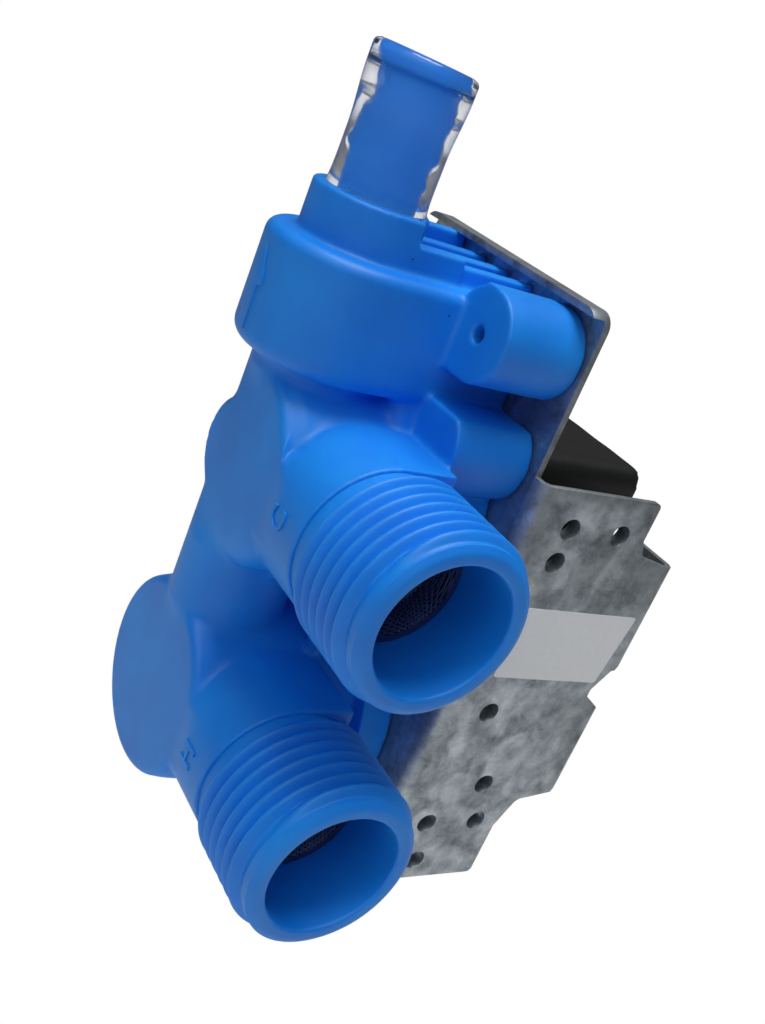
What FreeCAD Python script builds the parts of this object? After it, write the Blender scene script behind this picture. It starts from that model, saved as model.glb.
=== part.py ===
"""A two-inlet water valve for a washing machine, as a parametric document.

The body is one moulding with two threaded inlets, a manifold and a hose tube.
Two solenoid valves close its chambers, and a folded steel bracket holds it all.
X runs from the inlets to the coils, the inlets point to -Y and the outlet to +Z.
The origin is the centre of the four panel screw holes, on the panel face.
"""
import FreeCAD, Part
import os
import re
import Sketcher
from FreeCAD import Rotation, Vector

SIZES = {
    # Inlets: a 3/4 inch garden hose thread, 11.5 turns to the inch
    "thread_major": 26.99,
    "thread_pitch": 2.209,
    "thread_root": 24.2,
    "crest_flat": 0.45,
    "first_crest": 2.2,
    "nose_diameter": 24.9,
    "nose_chamfer": 0.7,
    "mouth_reach": 17.0,
    "inlet_bore": 19.4,
    "inlet_bore_depth": 12.4,
    "strainer_seat": 18.0,
    "strainer_depth": 13.4,
    "inlet_spacing": 38.85,
    "inlet_side": 34.9,
    # Necks behind the threads
    "neck_diameter": 25.2,
    "neck_setback": 2.0,
    "neck_corner": 8.1,
    "washer_bore": 16.6,
    "washer_bore_depth": 10.0,
    "inlet_passage": 7.6,
    "passage_right": 6.2,
    # Valve chambers, whose axes run along X
    "chamber_back": 27.5,
    "chamber_diameter": 28.8,
    "chamber_left": 11.65,
    "cold_end_diameter": 15.9,
    "cold_end_high": 0.4,
    "cheek_diameter": 24.7,
    "cheek_front": 4.6,
    "cheek_low": 1.6,
    "cheek_round": 4.2,
    "gusset_foot": 2.0,
    "gusset_front": 15.3,
    "gusset_front_high": 8.8,
    "gusset_knee": 7.4,
    "gusset_knee_high": 12.1,
    "gusset_back": 3.0,
    "gusset_back_high": 12.6,
    "gusset_round": 2.6,
    "web_thickness": 3.0,
    "chamber_wall": 1.9,
    "chamber_floor": 4.0,
    "seat_tube_diameter": 12.0,
    "seat_tube_bore": 8.0,
    "seat_rim": 15.2,
    "seat_flange_reach": 5.3,
    "seat_flange_depth": 5.8,
    "web_side": 21.6,
    "recess_step": 2.2,
    "bonnet_recess_depth": 4.4,
    # Manifold, drum, riser and hose tube, all on one axis along Z
    "outlet_left": 3.4,
    "manifold_diameter": 17.8,
    "manifold_bore": 10.6,
    "drum_diameter": 25.5,
    "drum_low": 16.5,
    "drum_high": 33.4,
    "drum_low_round": 2.4,
    "drum_top_round": 1.7,
    "riser_diameter": 17.8,
    "riser_collar": 15.8,
    "riser_high": 40.4,
    "step_high": 37.3,
    "step_end": 8.3,
    "rib_thickness": 2.6,
    "rib_pitch": 6.3,
    "rib_high": 36.2,
    "rib_front": 0.6,
    "slot_width": 0.9,
    "slot_depth": 3.6,
    "tube_diameter": 10.4,
    "tube_bore": 6.6,
    "tube_flare": 0.8,
    "tube_high": 59.0,
    "bead_diameter": 12.4,
    "bead_low": 56.3,
    "bead_round": 0.6,
    # Screw bosses along X, placed from the cold inlet's axis
    "boss_left": 7.9,
    "boss_diameter": 13.4,
    "boss_a_back": 10.1,
    "boss_a_high": 30.0,
    "crest_width": 2.4,
    "crest_reach": 5.6,
    "crest_hollow": 8.0,
    "boss_b_back": 11.0,
    "boss_b_high": 13.6,
    "boss_b_flat": 5.3,
    "rear_boss_back": 42.3,
    "rear_boss_high": 15.6,
    "rear_boss_diameter": 11.0,
    "pilot_diameter": 2.5,
    "strut_diameter": 3.0,
    "strut_back": 16.8,
    "strut_right": 7.9,
    # Bracket of one-millimetre galvanised sheet
    "sheet": 1.0,
    "bend_inside": 0.6,
    "web_front": 2.75,
    "web_back": 48.0,
    "web_high": 58.0,
    "web_low": 41.0,
    "web_corner": 2.5,
    "lip_reach": 2.2,
    "flange_high": 33.6,
    "flange_low": 39.2,
    "flange_right": 55.4,
    "shelf_high": 23.0,
    "shelf_in": 10.0,
    "shelf_rise": 4.2,
    "shelf_round": 1.4,
    "notch_high": 4.2,
    "notch_low": 4.9,
    "notch_in": 4.7,
    "notch_ramp": 3.0,
    "notch_flat": 1.4,
    "foot_high": 22.6,
    "foot_in": 8.5,
    "foot_slope": 0.8,
    "toe_high": 29.0,
    "toe_in": 10.8,
    "return_depth": 11.0,
    "screw_across": 10.25,
    "screw_along": 55.0,
    "screw_hole": 3.5,
    "collar_diameter": 5.6,
    "collar_depth": 1.5,
    "fitting_gap": 0.3,
    # Outlet sleeve: a stub of clear hose
    "sleeve_outside": 14.2,
    "sleeve_bore": 11.4,
    "sleeve_bell": 15.0,
    "sleeve_bell_bore": 13.0,
    "sleeve_lip": 0.5,
    # Strainers and flow washers
    "strainer_rim": 17.4,
    "strainer_cup": 15.8,
    "strainer_reach": 3.6,
    "strainer_wall": 0.4,
    "washer_thickness": 3.0,
    "washer_hole": 4.4,
    # Bonnets and plungers
    "bonnet_thickness": 3.0,
    "guide_diameter": 12.4,
    "plunger_play": 0.07,
    "guide_end": 50.0,
    "guide_roof": 1.5,
    "plunger_diameter": 9.8,
    "plunger_length": 22.0,
    "plunger_start": 20.2,
    "spring_well": 3.0,
    "spring_well_diameter": 5.6,
    "spring_diameter": 4.6,
    "spring_wire": 0.5,
    "spring_turns": 4.0,
    "tip_diameter": 5.0,
    "tip_depth": 2.0,
    "tip_proud": 0.6,
    # Diaphragms and their inserts
    "diaphragm_rim": 1.4,
    "diaphragm_skin": 0.8,
    "diaphragm_centre": 15.0,
    "insert_stem": 6.0,
    "insert_plate": 12.0,
    "insert_plate_depth": 1.2,
    "insert_reach": 3.2,
    "pilot_seat": 2.6,
    "pilot_hole": 1.0,
    # Coils
    "coil_start": 25.2,
    "coil_end": 51.0,
    "coil_spigot": 20.0,
    "coil_front": 10.4,
    "coil_depth": 33.4,
    "coil_height": 29.2,
    "coil_round": 2.5,
    "coil_gap": 0.5,
    "yoke_thickness": 1.5,
    "yoke_width": 17.0,
    "clip_thickness": 0.6,
    "clip_diameter": 20.0,
    "clip_grip": 0.15,
    "guide_stub": 3.4,
    "blade_width": 4.8,
    "blade_edge": 0.9,
    "blade_thickness": 0.8,
    "blade_reach": 9.0,
    "blade_spacing": 12.0,
    # Bracket screws
    "head_diameter": 8.6,
    "head_height": 2.2,
    "washer_face": 10.2,
    "washer_face_depth": 0.8,
    "screw_diameter": 4.0,
    "screw_length": 11.0,
}

# Single panel holes beside the four: how far right of the inlets, and how high
SPARE_HOLES = {
    "hole_inner_top": (29.9, 21.9),
    "hole_middle": (31.4, -5.3),
    "hole_low_right": (37.8, -19.7),
    "hole_bottom": (31.1, -35.4),
}
for spare, (right, high) in SPARE_HOLES.items():
    SIZES[spare + "_right"] = right
    SIZES[spare + "_high"] = high

doc = FreeCAD.newDocument("inlet_valve")
sheet = doc.addObject("Spreadsheet::Sheet", "sizes")
for row, (alias, value) in enumerate(SIZES.items(), start=1):
    sheet.set(f"A{row}", alias)
    sheet.set(f"B{row}", str(value))
    sheet.setAlias(f"B{row}", alias)
doc.recompute()

COLD_HIGH = "(inlet_spacing / 2)"
HOT_HIGH = "(-inlet_spacing / 2)"
IN_RECESS = "(chamber_diameter / 2 + recess_step - fitting_gap)"
ALONG = {
    "X": Rotation(Vector(0, 1, 0), 90),
    "Y": Rotation(Vector(1, 0, 0), -90),
    "Z": Rotation(),
}
FACING = {
    "XY": Rotation(),
    "XZ": Rotation(Vector(1, 0, 0), 90),
    "YZ": Rotation(Vector(1, 1, 1), 120),
}
pieces = []


def size(alias):
    """The number that the sheet holds for a size."""
    return float(sheet.get(alias))


def told(words):
    """A formula with each size in it pointed at its cell of the sheet."""
    return re.sub(r"[a-z_]+", lambda found: point_at(found.group(0)), str(words))


def point_at(word):
    return "sizes." + word if word in SIZES else word


def bind(thing, **formulas):
    """Ties properties of thing to formulas; x, y and z are its place."""
    for name, words in formulas.items():
        path = "Placement.Base." + name if name in "xyz" else name
        thing.setExpression(path, told(words))
    return thing


def bar(name, axis, diameter, start, end, across, up):
    """A round bar along an axis; across and up place it on the other two."""
    thing = doc.addObject("Part::Cylinder", name)
    thing.Placement = FreeCAD.Placement(Vector(), ALONG[axis])
    places = {"X": (start, across, up), "Y": (across, start, up), "Z": (across, up, start)}
    x, y, z = places[axis]
    return bind(thing, Radius=f"({diameter}) / 2", Height=f"({end}) - ({start})", x=x, y=y, z=z)


def block(name, x, y, z):
    """A block between two formulas on each axis."""
    thing = doc.addObject("Part::Box", name)
    spans = [f"({high}) - ({low})" for low, high in (x, y, z)]
    bind(thing, Length=spans[0], Width=spans[1], Height=spans[2])
    return bind(thing, x=x[0], y=y[0], z=z[0])


def fused(name, *things):
    result = doc.addObject("Part::MultiFuse", name)
    result.Shapes = list(things)
    result.Refine = True
    return result


def cut(name, base, *tools):
    result = doc.addObject("Part::Cut", name)
    result.Base = base
    result.Tool = tools[0] if len(tools) == 1 else fused(name + "_tools", *tools)
    result.Refine = True
    return result


def rounded(name, base, radius, wanted):
    """Fillets the edges of base for which wanted(edge) holds."""
    doc.recompute()
    result = doc.addObject("Part::Fillet", name)
    result.Base = base
    edges = base.Shape.Edges
    result.Edges = [(n, radius, radius) for n, edge in enumerate(edges, 1) if wanted(edge)]
    return result


def drawn(sketch, corners):
    """Draws a closed outline whose corners are tied to formulas."""
    count = len(corners)
    for n in range(count):
        here, there = Vector(n, n * n, 0), Vector(n + 1, (n + 1) ** 2, 0)
        sketch.addGeometry(Part.LineSegment(here, there), False)
    for n in range(count):
        sketch.addConstraint(Sketcher.Constraint("Coincident", n, 2, (n + 1) % count, 1))
    for n, (u, v) in enumerate(corners):
        for kind, words in (("DistanceX", u), ("DistanceY", v)):
            index = sketch.addConstraint(Sketcher.Constraint(kind, -1, 1, n, 1, float(n + 1)))
            sketch.setExpression(f"Constraints[{index}]", told(words))
    return sketch


def slab(name, plane, corners, start, end):
    """An outline on a plane, extruded between two formulas along its normal."""
    sketch = doc.addObject("Sketcher::SketchObject", name + "_outline")
    sketch.Placement = FreeCAD.Placement(Vector(), FACING[plane])
    drawn(sketch, corners)
    normal = {"XY": Vector(0, 0, 1), "XZ": Vector(0, 1, 0), "YZ": Vector(1, 0, 0)}[plane]
    bind(sketch, **{{"XY": "z", "XZ": "y", "YZ": "x"}[plane]: start})
    thing = doc.addObject("Part::Extrusion", name)
    thing.Base = sketch
    thing.DirMode = "Custom"
    thing.Dir = normal
    thing.Solid = True
    return bind(thing, LengthFwd=f"({end}) - ({start})")


def turned(name, axis, across, up, profile):
    """A body turned about an axis from (along, radius) corners."""
    body = doc.addObject("PartDesign::Body", name + "_body")
    sketch = body.newObject("Sketcher::SketchObject", name + "_profile")
    plane = next(p for p in body.Origin.OriginFeatures if p.Role == "XY_Plane")
    sketch.AttachmentSupport = [(plane, "")]
    sketch.MapMode = "FlatFace"
    drawn(sketch, profile)
    turn = body.newObject("PartDesign::Revolution", name + "_turn")
    turn.Profile = sketch
    turn.ReferenceAxis = (sketch, ["H_Axis"])
    turn.Angle = 360
    body.Tip = turn
    spin = {"X": Rotation(), "Y": Rotation(Vector(0, 0, 1), 90), "Z": Rotation(Vector(0, 1, 0), -90)}
    body.Placement = FreeCAD.Placement(Vector(), spin[axis])
    places = {"X": {"y": across, "z": up}, "Y": {"x": across, "z": up}, "Z": {"x": across, "y": up}}
    return bind(body, **places[axis])


def piece(label, thing):
    """Names a finished sub-part and moves it to the shared origin."""
    holder = doc.addObject("Part::Compound", label + "_placed")
    holder.Links = [thing]
    holder.Label = label
    bind(holder, x="-inlet_side")
    pieces.append(holder)
    return holder


# Inlets: each is a turned spigot with one ridge for each turn of the thread
def inlet_spigot(label, high):
    """The threaded end of an inlet, from its mouth to the shoulder of the neck."""
    ridge_count = 7
    bore_end = "(inlet_bore_depth - mouth_reach)"
    ledge = "(strainer_depth - mouth_reach)"
    profile = [("-mouth_reach", "inlet_bore / 2"), ("-mouth_reach", "nose_diameter / 2 - nose_chamfer")]
    profile.append(("-mouth_reach + nose_chamfer", "nose_diameter / 2"))
    for n in range(ridge_count):
        crest = f"(-mouth_reach + first_crest + {n} * thread_pitch)"
        flank = f"({crest} - thread_pitch / 2 + crest_flat / 4)"
        foot = "nose_diameter / 2" if n == 0 else "thread_root / 2"
        profile.append((flank, foot))
        profile.append((f"{crest} - crest_flat / 2", "thread_major / 2"))
        profile.append((f"{crest} + crest_flat / 2", "thread_major / 2"))
    tail = f"(-mouth_reach + first_crest + {ridge_count - 0.5} * thread_pitch)"
    profile += [(tail, "thread_root / 2"), ("neck_setback", "thread_root / 2")]
    profile += [("neck_setback", "washer_bore / 2"), (ledge, "washer_bore / 2")]
    profile += [(ledge, "strainer_seat / 2"), (bore_end, "strainer_seat / 2")]
    profile.append((bore_end, "inlet_bore / 2"))
    return piece(label, turned(label + "_turned", "Y", 0, high, profile))


def neck(name, high):
    """The round neck behind a spigot, with the square corner that stiffens it."""
    round_neck = bar(name + "_neck", "Y", "neck_diameter", "neck_setback", "chamber_back", 0, high)
    corner = block(
        name + "_corner",
        (0, "neck_corner"),
        ("neck_setback", "chamber_back - chamber_diameter / 4"),
        (f"{high} - neck_diameter / 2", f"{high} + neck_diameter / 2"),
    )
    return fused(name + "_outside", round_neck, corner)


def neck_hollow(name, high):
    """The bore of the flow washer, and the passage from it into the chamber."""
    washer_end = "(strainer_depth - mouth_reach + washer_bore_depth)"
    wide = bar(name + "_washer_bore", "Y", "washer_bore", "neck_setback - 1", washer_end, 0, high)
    passage = bar(
        name + "_passage", "Y", "inlet_passage", washer_end + " - 1",
        "chamber_back - seat_tube_diameter / 2 - 1", "passage_right", high,
    )
    return fused(name + "_hollow", wide, passage)


# Valve chambers, with the seat flange that the bracket is screwed against
def chamber_hollow(name, high):
    """Annular inlet space round the seat tube, and the recess for the bonnet."""
    space = bar(
        name + "_space", "X", "chamber_diameter - 2 * chamber_wall", "chamber_floor", "web_side + 1",
        "chamber_back", high,
    )
    seat = bar(
        name + "_seat_tube", "X", "seat_tube_diameter", "chamber_floor - 1", "seat_rim",
        "chamber_back", high,
    )
    recess = bar(
        name + "_recess", "X", "chamber_diameter + 2 * recess_step", "web_side - bonnet_recess_depth",
        "web_side + 1", "chamber_back", high,
    )
    bore = bar(
        name + "_seat_bore", "X", "seat_tube_bore", "-outlet_left", "web_side + 1",
        "chamber_back", high,
    )
    return fused(name + "_chamber_hollow", cut(name + "_ring_space", space, seat), recess, bore)


def chambers():
    hot = bar(
        "hot_chamber", "X", "chamber_diameter", "-chamber_left", "web_side",
        "chamber_back", HOT_HIGH,
    )
    cold = bar(
        "cold_chamber", "X", "chamber_diameter", "-chamber_left", "web_side",
        "chamber_back", COLD_HIGH,
    )
    left_of_manifold = block(
        "left_of_manifold",
        ("-chamber_left - 1", "-outlet_left"),
        ("chamber_back - chamber_diameter", "chamber_back + chamber_diameter"),
        (f"{COLD_HIGH} - chamber_diameter", f"{COLD_HIGH} + chamber_diameter"),
    )
    cheek = bar(
        "cold_cheek_round", "X", "cheek_diameter", "-chamber_left", 0,
        "chamber_back - cheek_front", f"{COLD_HIGH} - cheek_low",
    )
    cheek_edge = size("chamber_left")
    soft_cheek = rounded(
        "cold_cheek", cheek, size("cheek_round"), lambda edge: edge.BoundBox.XMax < 1 - cheek_edge,
    )
    slope = [
        ("gusset_front", "-gusset_foot"), ("gusset_front", "gusset_front_high"),
        ("gusset_knee", "gusset_knee_high"), ("gusset_back", "gusset_back_high"),
        ("gusset_back", "-gusset_foot"),
    ]
    corners = [(f"chamber_back - {ahead}", f"{COLD_HIGH} + {high}") for ahead, high in slope]
    gusset = slab("cold_gusset_plain", "YZ", corners, "-chamber_left", 0)
    doc.recompute()
    soft_gusset = rounded(
        "cold_gusset", gusset, size("gusset_round"),
        lambda edge: edge.BoundBox.XMax < 1 - cheek_edge
        and edge.BoundBox.ZMin > size("inlet_spacing") / 2 + 8,
    )
    cold_end = bar(
        "cold_end", "X", "cold_end_diameter", "-chamber_left", 1, "chamber_back",
        f"{COLD_HIGH} + cold_end_high",
    )
    flanges = []
    for name, high in (("cold", COLD_HIGH), ("hot", HOT_HIGH)):
        flanges.append(bar(
            name + "_seat_flange", "X", "chamber_diameter + 2 * seat_flange_reach",
            "web_side - seat_flange_depth", "web_side", "chamber_back", high,
        ))
    bridge = block(
        "seat_bridge",
        ("web_side - seat_flange_depth", "web_side"),
        ("chamber_back - chamber_diameter / 2", "chamber_back + chamber_diameter / 2"),
        (HOT_HIGH, COLD_HIGH),
    )
    web = block(
        "chamber_web",
        ("-outlet_left", "web_side - 1"),
        ("chamber_back - web_thickness / 2", "chamber_back + web_thickness / 2"),
        (HOT_HIGH, COLD_HIGH),
    )
    cold_ends = [cut("cold_chamber_cut", cold, left_of_manifold), cold_end, soft_cheek, soft_gusset]
    return [hot, *cold_ends, bridge, web, *flanges]


# Manifold, drum and riser
def manifold():
    return bar(
        "manifold", "Z", "manifold_diameter", HOT_HIGH, f"{COLD_HIGH} + drum_low + 1",
        "-outlet_left", "chamber_back",
    )


def drum():
    """A drum with a round left end and flat flanks, rounded along its edges."""
    low, high = f"{COLD_HIGH} + drum_low", f"{COLD_HIGH} + drum_high"
    left = bar("drum_round_end", "Z", "drum_diameter", low, high, "-outlet_left", "chamber_back")
    flanks = block(
        "drum_flanks",
        ("-outlet_left", "web_side"),
        ("chamber_back - drum_diameter / 2", "chamber_back + drum_diameter / 2"),
        (low, high),
    )
    whole = fused("drum_plain", left, flanks)
    doc.recompute()
    floor = size("inlet_spacing") / 2 + size("drum_low")
    roof = size("inlet_spacing") / 2 + size("drum_high")

    def rim(level):
        def wanted(edge):
            box = edge.BoundBox
            flat = box.ZLength < 1e-6 and abs(box.ZMin - level) < 1e-6
            along_flank = box.XLength > 1e-6
            return flat and along_flank
        return wanted

    soft_low = rounded("drum_low_soft", whole, size("drum_low_round"), rim(floor))
    return rounded("drum", soft_low, size("drum_top_round"), rim(roof))


def riser():
    """The stepped riser: a D-shaped front shell, a round collar and ribs to the web."""
    low = f"{COLD_HIGH} + drum_high - 1"
    top = f"{COLD_HIGH} + riser_high"
    step = f"{COLD_HIGH} + step_high"
    front = "chamber_back - riser_diameter / 2"
    shell = bar("riser_round", "Z", "riser_diameter", low, top, "-outlet_left", "chamber_back")
    right = block(
        "right_of_slot",
        ("0", "riser_diameter"),
        (front + " - 1", "chamber_back + riser_diameter"),
        (low, top + " + 1"),
    )
    flank = block(
        "riser_flank", ("-outlet_left", "0"), (front, "chamber_back"), (low, top),
    )
    collar = bar("riser_collar", "Z", "riser_collar", low, top, "-outlet_left", "chamber_back")
    stepped = block(
        "riser_step",
        ("-outlet_left", "step_end"),
        (front, f"({front}) + rib_thickness"),
        (low, step),
    )
    ribs = []
    for n in range(3):
        start = f"({front}) + rib_front + {n} * rib_pitch"
        ribs.append(block(
            f"riser_rib_{n + 1}",
            ("-outlet_left", "web_side"),
            (start, f"{start} + rib_thickness"),
            (low, f"{COLD_HIGH} + rib_high"),
        ))
    shell_left = cut("riser_left", shell, right)
    return [shell_left, flank, collar, stepped, *ribs]


def riser_slot():
    """The narrow slot between the shell's flat flank and the collar, above the step."""
    front = "chamber_back - riser_diameter / 2"
    return block(
        "riser_slot",
        ("0", "slot_width"),
        (front + " - 1", f"({front}) + slot_depth"),
        (f"{COLD_HIGH} + step_high", f"{COLD_HIGH} + riser_high + 1"),
    )


def outlet_tube():
    """The tube that the sleeve is pushed on, with a rounded bead at its end."""
    foot, top = f"{COLD_HIGH} + riser_high", f"{COLD_HIGH} + tube_high"
    bead = f"{COLD_HIGH} + bead_low"
    profile = [
        (foot, "tube_bore / 2"), (foot, "tube_diameter / 2 + tube_flare"),
        (f"{foot} + tube_flare", "tube_diameter / 2"), (bead, "tube_diameter / 2"),
        (f"{bead} + bead_round", "bead_diameter / 2 - bead_round / 4"),
        (f"{COLD_HIGH} + (bead_low + tube_high) / 2", "bead_diameter / 2"),
        (f"{top} - bead_round", "bead_diameter / 2 - bead_round / 2"), (top, "tube_diameter / 2"),
        (top, "tube_bore / 2"),
    ]
    return piece("outlet_tube", turned("hose_tube", "Z", "-outlet_left", "chamber_back", profile))


def outlet_hollow():
    """The way from both seat tubes up the manifold to the hose tube."""
    up = f"{COLD_HIGH} + riser_high + 1"
    place = ("-outlet_left", "chamber_back")
    return bar("manifold_bore", "Z", "manifold_bore", f"{HOT_HIGH} - manifold_bore / 2", up, *place)


# Screw bosses, each with a blind pilot hole from its left face
BOSSES = {
    "boss_a": ("boss_a_back", f"({COLD_HIGH} + boss_a_high)", "boss_left", "boss_diameter"),
    "boss_b": ("boss_b_back", f"({COLD_HIGH} + boss_b_high)", "boss_left", "boss_diameter"),
    "boss_c": ("boss_b_back", f"({HOT_HIGH} - boss_b_high)", "boss_left", "boss_diameter"),
    "boss_d": (
        "rear_boss_back", f"({COLD_HIGH} + rear_boss_high)", "boss_left", "rear_boss_diameter",
    ),
    "boss_e": (
        "rear_boss_back", f"({HOT_HIGH} - rear_boss_high)", "boss_left", "rear_boss_diameter",
    ),
}


def bosses():
    """Round bosses from the seat side, blended back into the body by short walls."""
    things = []
    for name, (back, high, left, diameter) in BOSSES.items():
        things.append(bar(name, "X", diameter, left, "web_side", back, high))
    things.append(block(
        "boss_a_wall",
        ("boss_left", "web_side"),
        ("boss_a_back", "chamber_back - drum_diameter / 2 + 1"),
        (f"{COLD_HIGH} + boss_a_high - boss_diameter / 2", f"{COLD_HIGH} + drum_high"),
    ))
    crest_high = f"{COLD_HIGH} + boss_a_high + boss_diameter / 2"
    crest = block(
        "boss_a_crest_block",
        ("boss_left", "web_side"),
        ("boss_a_back", "boss_a_back + crest_reach"),
        (f"{COLD_HIGH} + boss_a_high", crest_high),
    )
    hollow = bar(
        "boss_a_crest_hollow", "X", "crest_hollow", "boss_left - 1", "web_side + 1",
        "boss_a_back + crest_width + crest_hollow / 2", crest_high,
    )
    things.append(cut("boss_a_crest", crest, hollow))
    for name, high, sign in (("boss_b", COLD_HIGH, 1), ("boss_c", HOT_HIGH, -1)):
        edges = [f"{high} + {sign} * boss_b_high", f"{high} + {sign} * (boss_b_high + boss_b_flat)"]
        things.append(block(
            name + "_wall",
            ("boss_left", "web_side"),
            ("boss_b_back", "chamber_back - chamber_diameter / 3"),
            tuple(edges[::sign]),
        ))
    for name, high, sign in (("boss_d", COLD_HIGH, 1), ("boss_e", HOT_HIGH, -1)):
        edges = [high, f"{high} + {sign} * (rear_boss_high)"]
        things.append(block(
            name + "_wall",
            ("boss_left", "web_side"),
            ("chamber_back + chamber_diameter / 4", "rear_boss_back"),
            tuple(edges[::sign]),
        ))
    return things


def boss_cuts():
    """Flat tops of the two front bosses beside the inlets, and every pilot hole."""
    tools = []
    for name, high, sign in (("boss_b", COLD_HIGH, 1), ("boss_c", HOT_HIGH, -1)):
        flat = f"{high} + {sign} * (boss_b_high + boss_b_flat)"
        edges = [flat, f"{flat} + {sign} * boss_diameter / 4"]
        tools.append(block(
            name + "_flat",
            ("boss_left - 1", "web_side + 1"),
            ("boss_b_back - boss_diameter", "chamber_back - drum_diameter / 2"),
            tuple(edges[::sign]),
        ))
    for name, (back, high, left, diameter) in BOSSES.items():
        deep = "web_side + sheet - screw_length - 1"
        tools.append(bar(name + "_pilot", "X", "pilot_diameter", left + " - 1", deep + " + 1", back, high))
        tools.append(bar(
            name + "_screw_bore", "X", "screw_diameter + 2 * fitting_gap", deep, "web_side + 1",
            back, high,
        ))
    return tools


def struts():
    """A short strut behind each neck's top, under the drum and under the cold neck."""
    upper = bar(
        "upper_strut", "Z", "strut_diameter", f"{COLD_HIGH} + neck_diameter / 4",
        f"{COLD_HIGH} + drum_low + 2", "strut_right", "strut_back",
    )
    lower = bar(
        "lower_strut", "Z", "strut_diameter", f"{HOT_HIGH} + neck_diameter / 4",
        f"{COLD_HIGH} - neck_diameter / 4", "strut_right", "strut_back",
    )
    return [upper, lower]


def valve_body():
    outside = fused(
        "body_outside",
        neck("cold_inlet", COLD_HIGH), neck("hot_inlet", HOT_HIGH),
        *chambers(), manifold(), drum(), *riser(), *bosses(), *struts(),
    )
    hollows = [neck_hollow("cold_inlet", COLD_HIGH), neck_hollow("hot_inlet", HOT_HIGH)]
    hollows += [chamber_hollow("cold", COLD_HIGH), chamber_hollow("hot", HOT_HIGH)]
    hollows += [outlet_hollow(), riser_slot(), *boss_cuts()]
    return piece("valve_body", cut("valve_body_cut", outside, *hollows))


def outlet_sleeve():
    """A stub of hose that widens over the bead."""
    foot, lip = f"{COLD_HIGH} + riser_high", f"{COLD_HIGH} + tube_high + sleeve_lip"
    shoulder = f"{COLD_HIGH} + bead_low - 4"
    bell = f"{COLD_HIGH} + bead_low"
    profile = [
        (foot, "sleeve_bore / 2 + 0.6"), (foot, "sleeve_outside / 2 + 0.2"),
        (f"{foot} + 2", "sleeve_outside / 2"), (shoulder, "sleeve_outside / 2"),
        (bell, "sleeve_bell / 2"), (f"{lip} - 0.4", "sleeve_bell / 2"),
        (lip, "sleeve_bell / 2 - 0.3"), (lip, "sleeve_bell_bore / 2"),
        (bell, "sleeve_bell_bore / 2"), (shoulder, "sleeve_bore / 2"),
        (f"{foot} + 0.8", "sleeve_bore / 2"),
    ]
    return piece("outlet_sleeve", turned("sleeve", "Z", "-outlet_left", "chamber_back", profile))


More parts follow.
